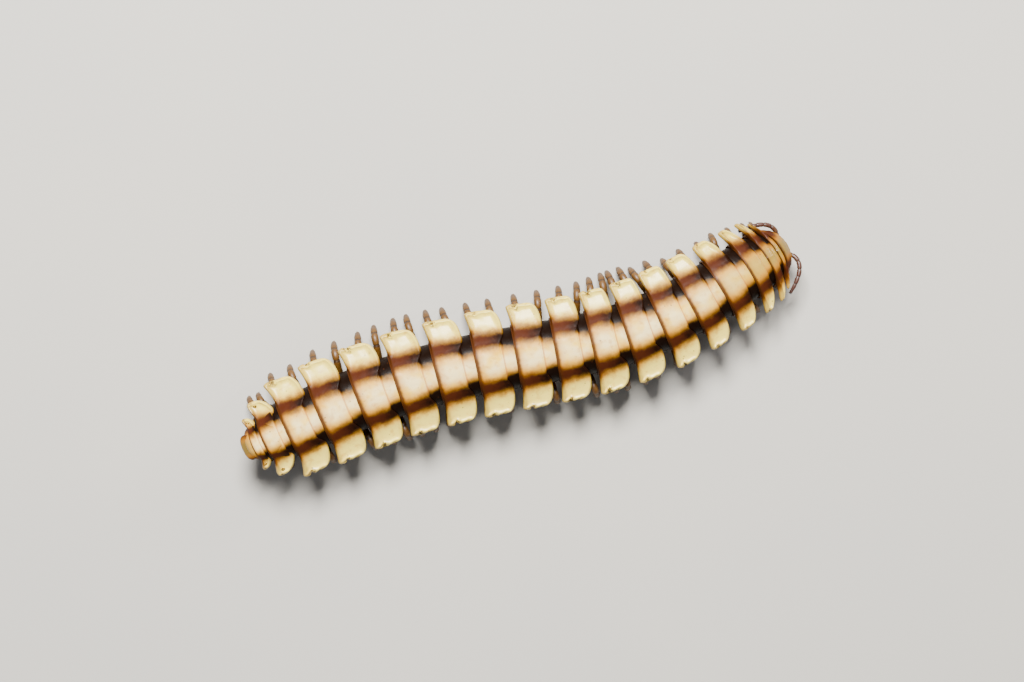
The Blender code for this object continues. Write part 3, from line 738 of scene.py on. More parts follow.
def shell_material():
    """Waxy shell: cream back between two dark stripes, creamy keels, ochre front rings, and painted highlight
    and shade.
    """
    g = Graph("shell_wax")
    across, along, low, fore, rim, stain = [g.value(name) for name in SHELL_VALUES]
    band = g.fade(along, "band")
    middle = g.minus(STRIPE_MIDDLE, g.times(along, STRIPE_LEAN))
    reach = g.wobble(g.minus(g.wobble(across, "stripe"), middle), "stripe_edge")
    wider = g.times(band, BAND_WIDER)
    inner = g.plus(reach, g.plus(wider, STRIPE_INNER))
    outer = g.minus(reach, g.plus(wider, STRIPE_OUTER))
    stripe = g.times(g.fade(inner, "stripe_inner"), g.fade(outer, "stripe_outer"))
    # Over the front band the stripe spreads out to the flank: partly the stripe's own dark brown, partly
    # painted shade in the gaps between the keels
    stripe = g.larger(stripe, g.times(band, g.fade(inner, "band_stripe_and_shade")))
    halo = g.times(g.fade(inner, "halo_inner"), g.fade(outer, "halo_outer"))

    g.base = g.mix(g.fade(across, "keel"), BACK_CREAM, KEEL_CREAM)
    # Painted highlight: lilac white over the middle of the back, in patches, fading out towards the stripes
    # and on the front rings
    painted_sheen = g.times(g.fade(across, "painted_sheen"), g.patches("painted_sheen", "sheen_patch"))
    g.tint(g.times(painted_sheen, g.fade(fore, "sheen_front")), LILAC_WHITE)
    g.tint(g.times(g.fade(along, "rear"), g.fade(across, "rear_keel")), BACK_GOLD)
    g.tint(g.patches("gold", "gold_patch"), BACK_GOLD, 0.35)
    g.tint(g.times(fore, g.fade(across, "ochre_keel")), OCHRE)
    g.tint(halo, BACK_GOLD, 0.7)
    g.tint(g.times(g.fade(inner, "fringe_inner"), g.fade(outer, "fringe_outer")), MARGIN_BROWN, 0.45)
    g.tint(g.times(g.fade(rim, "rim"), g.patches("rim", "rim_patch")), BACK_GOLD, 0.3)
    g.tint(g.times(g.fade(along, "suture_rear"), g.fade(along, "suture_front")), SUTURE_PINK, 0.55)
    g.tint(g.fade(low, "under"), UNDER_TAN)
    # Dark brown over the lower flank: partly the flank's own colour, partly painted shade under the keels
    dark_flank_and_shade = g.fade(g.wobble(low, "dark_flank_and_shade"), "dark_flank_and_shade")
    g.tint(dark_flank_and_shade, FLANK_BROWN_AND_SHADE)
    # The stripe turns from brown to nearly black towards the front band; that black is partly painted shade
    # in the gaps between the keels
    dark = g.mix(g.fade(g.wobble(along, "dark"), "dark"), STRIPE_BROWN, STRIPE_DARK)
    g.tint(g.times(stripe, g.fade(low, "stripe_low")), dark)
    # Dark line along each shield's rear edge: partly its brown margin, partly painted shade of the step down
    # to the ring behind
    margin = g.fade(g.wobble(along, "margin"), "margin")
    g.tint(g.times(margin, g.fade(across, "margin_shade_keel")), MARGIN_BROWN)
    g.tint(g.fade(g.times(stain, g.patches("blot", "blot_patch")), "blot"), MARGIN_BROWN)
    speck = g.times(g.fade(g.cells(1.1), "speck"), g.patches("speck", "speck_patch"))
    g.tint(speck, MARGIN_BROWN, 0.55)
    g.tint(g.patches("scratch", "scratch"), MARGIN_BROWN, 0.3)

    matt = g.larger(dark_flank_and_shade, g.times(halo, 0.9))
    roughness = g.plus(g.patches("shell_rough", "shell_rough"), g.times(matt, 0.1))
    g.put(g.shader.inputs["Coat Weight"], g.fade(g.larger(matt, stripe), "shell_coat"))
    skin = g.bump(g.noise("shell_skin"), 0.035, 0.5)
    skin = g.bump(g.cells(2.6, "SMOOTH_F1"), 0.05, 0.25, skin)
    return g.surface(roughness, skin, Coat_Roughness=0.28, Specular_IOR_Level=0.04)


def limb_material(name, brown, dark, pale_brown, coat):
    """Brown limbs, darker at the joints, paler towards the root and in patches."""
    g = Graph(name)
    joint, reach = [g.value(value_name) for value_name in LIMB_VALUES]
    grain = g.noise("limb")
    g.base = g.mix(g.fade(g.wobble(joint, "joint"), "joint"), brown, dark)
    g.tint(g.times(g.fade(reach, "limb_root"), g.fade(grain, "limb_grain")), pale_brown, 0.5)
    g.tint(g.fade(grain, "limb_patch"), pale_brown, 0.4)
    g.tint(g.fade(reach, "claw"), STRIPE_DARK)
    skin = g.bump(g.noise("limb_skin"), 0.03, 0.5)
    return g.surface(g.fade(grain, "limb_rough"), skin, Coat_Weight=coat, Coat_Roughness=0.25)


def head_material():
    """Glossy head shell: tan face, browner crown and darker sutures."""
    g = Graph("head_horn")
    groove, height = [g.value(value_name) for value_name in HEAD_VALUES]
    g.base = g.mix(g.fade(g.wobble(height, "face"), "face"), HEAD_TAN, HEAD_BROWN)
    g.tint(g.patches("head", "head_patch"), OCHRE, 0.45)
    g.tint(g.fade(groove, "groove"), STRIPE_DARK, 0.75)
    roughness = g.patches("head_rough", "head_rough")
    skin = g.bump(g.noise("head_skin"), 0.03, 0.4)
    return g.surface(roughness, skin, Coat_Weight=0.7, Coat_Roughness=0.14)


def floor_material():
    """Pale matt floor with a faint mottle."""
    g = Graph("floor_card")
    g.base = g.mix(g.patches("mottle", "mottle"), FLOOR_GREY, LILAC_WHITE)
    return g.surface(0.75, g.bump(g.noise("floor"), 0.02, 0.1))


def keel_sizes(ring, length):
    """Sizes of a ring's keels in millimetres, worked out once."""
    sizes = {name: along_body(table, ring) for name, table in KEELS.items()}
    sizes["half"] = along_body(TRUNK_HALF_WIDTH, ring)
    sizes["root"] = sizes["half"] * KEEL_ROOT
    sizes["middle"] = KEEL_REAR_START * length + sizes["chord"] / 2
    sizes["suture"] = METAZONITE_END * length
    return sizes


def shield_ends(sizes, across):
    """Rear and front end of the ring's shield at a distance from the mid back, and the keel's share."""
    root = sizes["root"]
    share = clamp((across - root) / (sizes["reach"] - root), TIP_SHARE)
    half_chord = sizes["chord"] / 2 * (1 + sizes["flare"] * share)
    swept = sizes["middle"] - sizes["sweep"] * share ** 2
    rear_edge = half_chord * round_end(share, sizes["rear_round"])
    front_edge = half_chord * round_end(share, sizes["front_round"])
    rear = (swept - rear_edge - sizes["hook"] * share ** 4) * smooth(across, 0.0, root)
    out = smooth(across, *[root * part for part in OUTLINE_TURN])
    return rear, sizes["suture"] + (swept + front_edge - sizes["suture"]) * out, share


def shield_drop(sizes, height, across):
    """How far the top of the shield lies under the mid back, with the keel faired into the back."""
    half = sizes["half"]
    wing = KEEL_ROOT_DROP * height + (across - half) * math.tan(math.radians(KEEL_SLOPE))
    if across >= half * SHOULDER:
        return wing
    back = height * trunk_drop(min(across / half, SHOULDER))
    fairing = BLEND * smooth(across / half, *BLEND_FADE)
    if fairing < 0.01:
        return min(back, wing)
    share = clamp(0.5 + 0.5 * (wing - back) / fairing)
    return wing + (back - wing) * share - fairing * share * (1 - share)


def lateral_stations(sizes):
    """Distances from the mid back to the keel's tip, closer together towards the tip."""
    root = sizes["root"]
    found = [root * i / BACK_STATIONS for i in range(BACK_STATIONS)]
    for i in range(KEEL_STATIONS + 1):
        share = 1 - (1 - i / KEEL_STATIONS) ** KEEL_STATION_POWER
        found.append(root + (sizes["reach"] - root) * share)
    return found


def front_ring_share(ring):
    """How much a ring has the ochre of the front rings."""
    return 1 - smooth(ring, *FRONT_RINGS)


def plate_relief(share, margin, f, out, point):
    """Swell, rim, hollow and grain of the plate's upper side in millimetres."""
    height, place, width = RIM_BEAD
    swell = PLATE_SWELL * math.sin(math.pi * f) * (1 - out * 0.5)
    bead = height * bell(margin, place, width) * smooth(share, *RIM_BEAD_FADE)
    hollow = HOLLOW_DEPTH * smooth(margin, *HOLLOW_INSIDE) * smooth(share, *HOLLOW_FADE)
    grain = sum(size * noise.noise(point * per_mm) for size, per_mm in GRAIN)
    return swell + bead - hollow + grain


def shield(line, ring, skin):
    """The ring's back and keels in one smooth plate, with a thin rear lip and rounded margins."""
    length = ring_length(line, ring)
    sizes = keel_sizes(ring, length)
    root, half = sizes["root"], sizes["half"]
    fore = front_ring_share(ring)
    stations = lateral_stations(sizes)
    sides = [(-1, across) for across in reversed(stations[1:])] + [(1, across) for across in stations]
    height = trunk_height(line, ring, HEIGHT_AT)
    spread = {side: [1 + RANDOM.uniform(-BUMP_SPREAD, BUMP_SPREAD) for _ in MARGIN_BUMPS] for side in (-1, 1)}
    stains = {side: RANDOM.uniform(*STAIN_STRENGTH) for side in (-1, 1)}
    seed = Vector([ring * shift for shift in GRAIN_SHIFT])
    rows = []
    for side, across in sides:
        rear, front, share = shield_ends(sizes, across)
        drop = shield_drop(sizes, height, across)
        out = smooth(across, *[root * part for part in THICK_TURN])
        thick = SHIELD_THICK + (KEEL_ROOT_THICK - SHIELD_THICK) * out
        thick += (KEEL_TIP_THICK - thick) * share * out
        tip = max(sizes["reach"] - across, 0.0)
        tip_edge = rounded(tip + TIP_CLEAR, EDGE_ROUND)
        painted = across / half * WIDEST_TRUNK if across <= half else WIDEST_TRUNK + across - half
        top_row = []
        under_row = []
        for i in range(LENGTH_STATIONS + 1):
            f = i / LENGTH_STATIONS
            f = eased(f) * (1 - EVEN_STATIONS) + f * EVEN_STATIONS
            x = rear + (front - rear) * f
            near = min(x - rear, front - x)
            edge = rounded(near, EDGE_ROUND)
            lip = LIP_THICK + (thick - LIP_THICK) * smooth(x - rear, 0.0, LIP_LENGTH)
            here = thick * out + lip * (1 - out)
            margin = min(near, tip)
            bumps = zip(MARGIN_BUMPS, spread[side])
            bump = sum(size * part * bell(f, at, width) for (at, width, size), part in bumps)
            wide = side * (across + bump * sizes["bumps"] * smooth(share, *MARGIN_FADE))
            relief = plate_relief(share, margin, f, out, Vector((x, side * across, 0)) + seed)
            round_off = (1 - edge * tip_edge) * here / 2
            place, rotation = station(line, ring, x / length)
            top = spot(place, rotation, 0, wide, -drop - round_off + relief * edge * tip_edge)
            under = spot(place, rotation, 0, wide, -drop - here + round_off)
            rim = math.exp(-margin / RIM_WIDTH) * smooth(share, *RIM_FADE)
            stain = stains[side] * bell(f, *STAIN_PLACE) * math.exp(-tip / STAIN_WIDTH)
            along = min(x / length, METAZONITE_END - 0.01)
            top_row.append((top, (painted, along, 0.0, fore, rim, stain)))
            under_row.append((under, (painted, along, SHIELD_UNDER_LOW, fore, rim, 0.0)))
        rows.append(top_row + under_row[::-1][1:-1])
    skin.add_loops(rows)


def trunk(line, ring, skin):
    """Flanks, hollow rear rim, suture and front band, which runs in under the ring ahead."""
    length = ring_length(line, ring)
    fore = front_ring_share(ring)
    sections = [(x / length, inset) for x, inset in REAR_RIM] + list(FRONT_BAND)
    sections.append((1 + BAND_TUCK / length, BAND_TUCK_INSET))
    rows = []
    for share, inset in sections:
        place, rotation = station(line, ring, share)
        half = along_body(TRUNK_HALF_WIDTH, ring - share)
        height = trunk_height(line, ring, share)
        row = []
        for point in TRUNK_LOOP:
            under_plate = share < METAZONITE_END and point.y < BACK_SHARE
            sunk = inset + BACK_INSET if under_plate else inset
            down = sunk + point.y * (height - 2 * sunk)
            painted = abs(point.x) * WIDEST_TRUNK + smooth(point.y, *FLANK_FADE) * FLANK_PAINT
            values = (painted, max(share, 0.05), point.y * TRUNK_LOW, fore, 0.0, 0.0)
            row.append((spot(place, rotation, 0, point.x * (half - sunk), -down), values))
        rows.append(row)
    skin.add_loops(rows)


def pores(line, ring, skin):
    """The glands' openings near the keels' side margins, each a low collar round a dark pit."""
    length = ring_length(line, ring)
    sizes = keel_sizes(ring, length)
    height = trunk_height(line, ring, HEIGHT_AT)
    across = sizes["reach"] - (PORE_INSET if ring <= 17 else LAST_PORE_INSET)
    rear, front, share = shield_ends(sizes, across)
    place, rotation = station(line, ring, (rear + (front - rear) * PORE_ALONG) / length)
    axes = [rotation @ Vector(axis) for axis in ((PORE_STRETCH, 0, 0), (0, 1, 0), (0, 0, 1))]
    paint, darker = PORE_PAINT
    for side in (-1, 1):
        centre = spot(place, rotation, 0, side * across, -shield_drop(sizes, height, across) - PORE_SUNK)
        skin.add_collar(
            centre, *axes, PORE_LOOPS, PORE_SIDES,
            lambda dark: (WIDEST_TRUNK + paint - dark * darker, 0.4, 0.0, 0.0, 1.0, 0.5 + dark),
        )


def make_rings(line, material):
    for ring in range(2, LAST_RING + 1):
        skin = Skin(*SHELL_VALUES)
        shield(line, ring, skin)
        trunk(line, ring, skin)
        if ring in PORE_RINGS:
            pores(line, ring, skin)
        slot = "front_shell" if ring <= 4 else "ring_shell"
        skin.piece(f"shell_ring_{ring:02d}", material, slot, f"ring_{ring:02d}")


def collum_station(line, share):
    """Place and rotation along the shield, which curves down over the back of the head."""
    rear_dip = along_body(DIP, 1)
    dip = rear_dip + (COLLUM_FRONT_DIP - rear_dip) * share
    middle_dip = rear_dip + (COLLUM_FRONT_DIP - rear_dip) * share / 2
    yaw = along_body(YAW, 1)
    forward = turn(yaw, middle_dip) @ Vector((COLLUM_LENGTH * share, 0, 0))
    return line[1] + forward, turn(yaw, dip)


def collum_row(line, share, arch):
    """Upper and under points across the collum at a share of its length."""
    place, rotation = collum_station(line, share)
    narrow = max(COLLUM_NARROWEST, round_end(share, COLLUM_FRONT_ROUND))
    half_width = COLLUM_HALF_WIDTH * narrow
    drop = COLLUM_DROP * narrow ** 2
    thick = COLLUM_THICK * (1 - COLLUM_THIN_FRONT * share)
    outer = []
    inner = []
    for a in arch:
        fall = drop * abs(a) ** COLLUM_ARCH_POWER
        under = fall + thick * (1 - COLLUM_THIN_SIDES * a * a)
        outer.append(place + rotation @ Vector((0, half_width * a, -fall)))
        inner.append(place + rotation @ Vector((0, half_width * a * COLLUM_UNDER_WIDTH, -under)))
    return outer, inner


def cad_shift(line):
    """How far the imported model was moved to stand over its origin, from the collum's own box."""
    arch = [i / COLLUM_COLUMNS for i in range(-COLLUM_COLUMNS, COLLUM_COLUMNS + 1)]
    corners = []
    for share in COLLUM_STEPS:
        outer, inner = collum_row(line, share, arch)
        corners += outer + inner
    low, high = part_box("collum")
    return Vector((
        (low.x + high.x - min(c.x for c in corners) - max(c.x for c in corners)) / 2,
        (low.y + high.y - min(c.y for c in corners) - max(c.y for c in corners)) / 2,
        0,
    ))


def make_collum(line, material):
    """The collum, a rounded plate with a beaded front rim."""
    skin = Skin(*SHELL_VALUES)
    columns = COLLUM_FINE_COLUMNS
    arch = [math.sin(math.pi / 2 * i / columns) for i in range(-columns, columns + 1)]
    bead, spread = COLLUM_BEADS
    side_place, side_width, side_height = COLLUM_SIDE_RIM
    rows = []
    for i in range(COLLUM_FINE_STEPS + 1):
        share = math.sin(math.pi / 2 * i / COLLUM_FINE_STEPS)
        along = 0.05 + share * 0.5
        top_row = []
        under_row = []
        for a, top, under in zip(arch, *collum_row(line, share, arch)):
            edge = math.sqrt(max(0.0, 1 - abs(a) ** 8)) * math.sqrt(max(0.0, 1 - share ** 10))
            edge = max(edge, COLLUM_EDGE)
            middle = (top + under) / 2
            beads = bead + spread * noise.noise(Vector((a * 11, 3.7, 0)))
            rim = bell(share, *COLLUM_RIM) * beads + bell(abs(a), side_place, side_width) * side_height
            lift = (top - under).normalized() * (rim + 0.02 * noise.noise(top / MM * 1.3)) * MM
            painted = abs(a) * COLLUM_PAINT
            values = (painted * (0.4 + 0.6 * (1 - share ** 3)), along, 0.0, FULL_OCHRE, 0.0, 0.0)
            top_row.append((middle + (top - middle) * edge + lift, values))
            values = (painted, along, COLLUM_UNDER_LOW, FULL_OCHRE, 0.0, 0.0)
            under_row.append((middle + (under - middle) * edge, values))
        rows.append(top_row + under_row[::-1])
    skin.add_loops(rows)
    skin.piece("collum_shell", material, "front_shell", "collum")


def head_place(line):
    """Centre of the head and its rotation, with the face nearly upright."""
    yaw = along_body(YAW, 1)
    centre = Vector((line[1].x, line[1].y, 0)) + turn(yaw, 0) @ Vector((HEAD_AHEAD, 0, 0))
    centre.z = HEAD_CENTRE_HEIGHT
    return centre, turn(yaw, HEAD_LEAN)


def head_bulk(head):
    """Capsule, cheeks and neck in one closed skin, as a mesh without an object."""
    bulk = Skin()
    rows = []
    for up, half_width, front, back in curve_through(HEAD_LEVELS, HEAD_SMOOTH_STEPS):
        row = []
        for cos, sin in circle(HEAD_SIDES):
            x = power(cos, HEAD_SQUARE) * (front if cos > 0 else back)
            row.append((spot(*head, x, power(sin, HEAD_SQUARE) * half_width, up), ()))
        rows.append(row)
    bulk.add_loops(rows)
    for part, side in ((CHEEK, 1), (CHEEK, -1), (NECK, 1)):
        bulk.add_part(head, part, side, 40, 24)
    body = add_object("head_bulk", bulk.mesh("head_bulk"))
    remesh = body.modifiers.new("one_skin", "REMESH")
    remesh.mode = "VOXEL"
    remesh.voxel_size = HEAD_VOXEL
    soften = body.modifiers.new("soften", "SMOOTH")
    soften.iterations = HEAD_SOFTENING
    graph = bpy.context.evaluated_depsgraph_get()
    merged = bpy.data.meshes.new_from_object(body.evaluated_get(graph))
    bpy.data.objects.remove(body)
    return merged


def head_groove(x, y, z):
    """Depth from 0 to 1 of the head's sutures and folds at a point in millimetres from its centre."""
    aside = abs(y)
    depths = [bell(x, 0.62, 0.07) * smooth(aside, 1.6, 1.9) * smooth(z, 1.3, 0.9) * 0.8]
    if x > 0:
        # Mid suture of the crown, two folds over the lip, and the cheek suture under each socket
        fold = -0.75 - 0.16 * y * y
        cheek = aside - 0.55 - 0.5 * max(0.0, 0.6 - z)
        depths += [
            bell(y, 0, 0.07) * smooth(z, 0.2, 0.7) * 0.9,
            bell(z, fold, 0.07) * smooth(aside, 2.2, 1.7) * 0.7,
            bell(z, fold - 0.6, 0.06) * smooth(aside, 1.5, 1.1) * 0.6,
            bell(cheek, 0, 0.07) * smooth(z, -0.7, -0.4) * smooth(z, 1.1, 0.6) * 0.45,
        ]
    return max(depths)


def make_face(head, material):
    """Head capsule with its sutures, the swollen face over the lip and a fine grain."""
    centre, upright = head
    merged = head_bulk(head)
    back = upright.transposed()
    skin = Skin(*HEAD_VALUES)
    pairs = []
    for vertex in merged.vertices:
        own = back @ (vertex.co - centre) / MM
        x, y, z = own
        depth = head_groove(x, y, z)
        swell = 0.12 * bell(z, -0.1, 0.5) * bell(y, 0, 0.8) * smooth(x, 0.5, 1.2)
        pucker = sum(size * noise.noise(own * per_mm) for size, per_mm in HEAD_GRAIN)
        shade = 0.8 * smooth(abs(y), 1.6, 2.3) * smooth(z, -0.6, 0.8)
        moved = vertex.co + vertex.normal * (swell + pucker - GROOVE_DEPTH * depth) * MM
        pairs.append((moved, (max(depth, shade), z)))
    skin.add(pairs)
    skin.faces = [tuple(face.vertices) for face in merged.polygons]
    skin.piece("head_skin", material, "head_shell", "head")


def make_mouthparts(head, material):
    """Jaws, lip with three teeth, sockets and bristles of the head."""
    upright = head[1]
    skin = Skin(*HEAD_VALUES)
    for side in (1, -1):
        for part in (MANDIBLE_STIPES, MANDIBLE_CARDO, LIP_LOBE):
            skin.add_part(head, part, side, 32, 20, 0.9)
    skin.add_part(head, JAW_PLATE, 1, 32, 16, 0.8)
    for side in (-1, 0, 1):
        skin.add_part(head, LIP_TOOTH, side, 10, 8)
    bow, curve = LIP_BOW
    for i in range(LIP_BRISTLES):
        y = -LIP_HALF_WIDTH + 2 * LIP_HALF_WIDTH * i / (LIP_BRISTLES - 1)
        lean = upright @ Vector((0.6, y * 0.2, -0.8)).normalized()
        root = spot(*head, bow - curve * y * y, y, LIP_BRISTLE_HEIGHT)
        skin.add_bristle(root, lean, LIP_BRISTLE_LENGTH, (0.2, 0.0))
    bow, curve = FACE_BOW
    for side in (1, -1):
        lean = upright @ Vector((1.0, side * 0.3, 0.25)).normalized()
        for y, z in FACE_BRISTLES:
            root = spot(*head, bow - curve * y * y, side * y, z)
            skin.add_bristle(root, lean, FACE_BRISTLE_LENGTH, (0.3, 0.0))
        way = upright @ sided(SOCKET_WAY, side).normalized()
        over = way.orthogonal().normalized()
        socket = spot(*head, *sided(SOCKET_PLACE, side))
        axes = (over, way.cross(over), way)
        skin.add_collar(socket, *axes, SOCKET_LOOPS, SOCKET_SIDES, lambda dark: (dark, 0.5))
    skin.piece("head_mouthparts", material, "head_shell")


def frames_along(points):
    """Direction, across and over at each point of a limb."""
    found = []
    for i in range(len(points)):
        direction = (points[min(i + 1, len(points) - 1)] - points[max(i - 1, 0)]).normalized()
        across = direction.cross(Vector((0, 0, 1)))
        if across.length < UPRIGHT:
            across = (points[-1] - points[0]).cross(Vector((0, 0, 1)))
        across.normalize()
        found.append((direction, across, across.cross(direction).normalized()))
    return found


class Limb:
    """A smooth route with its radius, read by share of its length."""

    def __init__(self, knots, radii):
        self.samples = curve_through([(*knot, radius) for knot, radius in zip(knots, radii)], ROUTE_STEPS)
        self.lengths = [0.0]
        for near, far in zip(self.samples, self.samples[1:]):
            self.lengths.append(self.lengths[-1] + (far.xyz - near.xyz).length)

    def at(self, share):
        """Point and radius at a share of the length."""
        wanted = share * self.lengths[-1]
        for i in range(1, len(self.lengths)):
            if wanted <= self.lengths[i] or i == len(self.lengths) - 1:
                part = (wanted - self.lengths[i - 1]) / (self.lengths[i] - self.lengths[i - 1])
                sample = self.samples[i - 1].lerp(self.samples[i], part)
                return sample.xyz, sample.w


def segmented_limb(skin, limb, joints, sides, pinch, bristles):
    """Articles that widen to their ends, with a pinched joint between, and fine bristles."""
    stops = []
    thin, widening = ARTICLE_CLUB
    for start, end in zip(joints, joints[1:]):
        for step in range(ARTICLE_LOOPS + 1):
            f = eased(step / ARTICLE_LOOPS)
            inside = start + (end - start) * (ARTICLE_END + (1 - 2 * ARTICLE_END) * f)
            point, radius = limb.at(min(inside, 1.0))
            neck = 1 - pinch * (bell(f, 0, PINCH_WIDTH[0]) + bell(f, 1, PINCH_WIDTH[1]))
            mark = (max(bell(f, 0, JOINT_PAINT[0]), bell(f, 1, JOINT_PAINT[1])), inside)
            stops.append((point, radius * (thin + widening * f) * neck, mark))
    rows = []
    frames = frames_along([point for point, radius, mark in stops])
    for (point, radius, mark), (direction, across, over) in zip(stops, frames):
        rows.append(hoop(point, across, over, radius, mark, sides, 0.5))
        if mark[0] < BARE_JOINT:
            for i in range(bristles):
                angle = RANDOM.uniform(0, math.tau)
                out = across * math.cos(angle) + over * math.sin(angle)
                lean = (out * 0.8 + direction * RANDOM.uniform(*BRISTLE_LEAN)).normalized()
                size = BRISTLE_LENGTH * RANDOM.uniform(*BRISTLE_SPREAD)
                skin.add_bristle(point + out * radius * 0.95, lean, size, mark)
    skin.add_loops(rows)


def make_antennae(line, material):
    """Eight articles each, bent out from the face and back along the first keels."""
    head = head_place(line)
    cones, cone_length, cone_radius = TIP_CONES
    first = Vector(ANTENNA_ROUTE[0])
    for name, side in SIDES:
        swing = Matrix.Rotation(math.radians(ANTENNA_SWING[name]), 3, "Z")
        knots = []
        radii = []
        for i, knot in enumerate(ANTENNA_ROUTE):
            knots.append(spot(*head, *sided(first + swing @ (Vector(knot) - first), side)))
            taper = (i / (len(ANTENNA_ROUTE) - 1)) ** 3
            radii.append(ANTENNA_RADIUS + (ANTENNA_TIP_RADIUS - ANTENNA_RADIUS) * taper)
        limb = Limb(knots, radii)
        skin = Skin(*LIMB_VALUES)
        segmented_limb(skin, limb, ANTENNA_JOINTS, ANTENNA_SIDES, ANTENNA_PINCH, ANTENNA_BRISTLES)
        tip, radius = limb.at(1.0)
        direction = (tip - limb.at(0.97)[0]).normalized()
        over = direction.orthogonal().normalized()
        for k in range(cones):
            out = Matrix.Rotation(math.tau * k / cones, 3, direction) @ over
            skin.add_bristle(tip + out * radius * 0.4, direction, cone_length, (0.0, 0.9), cone_radius)
        skin.piece(f"antenna_{name}_skin", material, "limb_skin", f"antenna_{name}")


def belly_ends(line, ring):
    """Mid belly at the rear and the front of a ring."""
    ends = []
    for share in (0.0, 1 - GAP / (line[ring - 1] - line[ring]).length):
        place, rotation = station(line, ring, share)
        ends.append(spot(place, rotation, 0, 0, -trunk_height(line, ring, share)))
    return ends


def leg_count(ring):
    """One pair of legs on rings 2 to 4, two pairs from ring 5 on."""
    return 1 if ring <= 4 else 2


def legs_before(ring):
    """Legs on one side in front of a ring."""
    return sum(leg_count(r) for r in range(2, ring))


def leg_limb(root, outward, forward, ring, order, side):
    """Route of one leg from its root in the belly down to its claw on the floor."""
    phase = math.tau * order / STRIDE_LEGS + (STRIDE_LEFT_LEAD if side > 0 else 0.0)
    swing = math.radians(along_body(LEG_LEAN, ring) + STRIDE_SWING * math.sin(phase))
    way = outward * math.cos(swing) + forward * math.sin(swing)
    reach_scale = along_body(LEG_REACH_SCALE, ring) * (1 + STRIDE_REACH * math.cos(phase))
    reach_scale *= SIDE_REACH[side]
    thick_scale = along_body(LEG_THICK_SCALE, ring)
    points = []
    radii = []
    for reach, height, radius in LEG_PATH:
        rise = height if reach < LEG_BEND else height * along_body(LEG_RISE_SCALE, ring)
        points.append(Vector((root.x, root.y, rise * MM)) + way * reach * reach_scale * MM)
        radii.append(radius * thick_scale * MM)
    radii[-2] *= CLAW_TAPER[0]
    radii[-1] *= CLAW_TAPER[1]
    return Limb(points, radii)


def make_leg(skin, line, ring, side, i):
    """One leg with its half of the sternum and its hip knob."""
    rear, front = belly_ends(line, ring)
    facing = turn(along_body(YAW, ring - 0.5), 0)
    forward = facing @ Vector((1, 0, 0))
    outward = facing @ Vector((0, side, 0))
    count = leg_count(ring)
    middle = front.lerp(rear, (i + 0.5) / count)
    root = middle + outward * LEG_ROOT
    limb = leg_limb(root, outward, forward, ring, legs_before(ring) + i, side)
    segmented_limb(skin, limb, LEG_JOINTS, LEG_SIDES, LEG_PINCH, 1)
    belly = along_body(BELLY_LEVEL, ring)
    half_length = (front - rear).length / MM / count / 2 - HIP_GAP
    half_width = (HIP_OUTER - HIP_INNER) / 2
    hip = middle + outward * (HIP_INNER + half_width) * MM
    hip.z = (belly - HIP_SUNK) * MM
    skin.add_lobe(hip, (half_length, half_width, HIP_HALF_HEIGHT), facing, (0.3, 0.2), 28, 14, HIP_SQUARE)
    knob = root + outward * KNOB_OUT * MM
    knob.z = (belly - KNOB_SUNK) * MM
    skin.add_lobe(knob, Vector(KNOB_RADII) * along_body(LEG_THICK_SCALE, ring), facing, (0.0, 0.1))


def make_legs(line, material):
    """Legs of each side of each ring."""
    for name, side in SIDES:
        for ring in range(2, LAST_LEG_RING + 1):
            skin = Skin(*LIMB_VALUES)
            for i in range(leg_count(ring)):
                make_leg(skin, line, ring, side, i)
            skin.piece(f"limbs_{name}_{ring:02d}", material, "limb_skin", f"legs_{name}_{ring:02d}")


def telson_trunk(line, start, rotation, skin):
    """The telson's body, which narrows to its end."""
    inset = FRONT_BAND_INSET * MM
    height = line[LAST_RING].z - along_body(BELLY_LEVEL, LAST_RING) * MM - inset
    half_width = along_body(TRUNK_HALF_WIDTH, LAST_RING) * MM - inset
    centre = -inset - height / 2
    rows = []
    for back, rise, shrink in curve_through(TELSON_STEPS, TELSON_SMOOTH_STEPS):
        row = []
        for p in TRUNK_LOOP:
            up = centre + rise * MM + (0.5 - p.y) * height * shrink
            point = start + rotation @ Vector((-back * MM, p.x * half_width * shrink, up))
            painted = abs(p.x) * TELSON_PAINT + smooth(p.y, *FLANK_FADE) * FLANK_PAINT
            row.append((point, (painted, TELSON_ALONG, p.y * TELSON_LOW, TELSON_OCHRE, 0.0, 0.0)))
        rows.append(row)
    skin.add_loops(rows)


def tail_plate(start, rotation, skin):
    """The broad plate over the telson's end, bent down and rounded at its tip."""
    plate_turn = turn(along_body(YAW, LAST_RING), -TAIL_PLATE_DROP)
    plate_start = start + rotation @ Vector((0, 0, -TAIL_PLATE_TOP))
    rows = []
    for i in range(TAIL_PLATE_LOOPS + 1):
        share = TIP_SHARE * math.sin(math.pi / 2 * i / TAIL_PLATE_LOOPS)
        flare = math.sin(math.pi / 2 * share / TAIL_PLATE_WIDEST)
        half = TAIL_PLATE_HALF_WIDTH * (TAIL_PLATE_ROOT + (1 - TAIL_PLATE_ROOT) * flare)
        half *= round_end(share, TAIL_PLATE_ROUND)
        thick = TAIL_PLATE_THICK * (1 - TAIL_PLATE_THIN * share)
        thick *= math.sqrt(max(0.02, 1 - share ** 8))
        row = []
        for cos, sin in circle(TAIL_PLATE_SIDES, 0.5):
            across = half * cos
            up = thick / 2 * power(sin, TAIL_PLATE_SQUARE)
            point = plate_start + plate_turn @ Vector((-TAIL_PLATE_LENGTH * share, across, up))
            painted = abs(across) / MM * TAIL_PLATE_PAINT
            row.append((point, (painted, 0.3, 0.0, FULL_OCHRE, share ** 4, 0.0)))
        rows.append(row)
    skin.add_loops(rows)


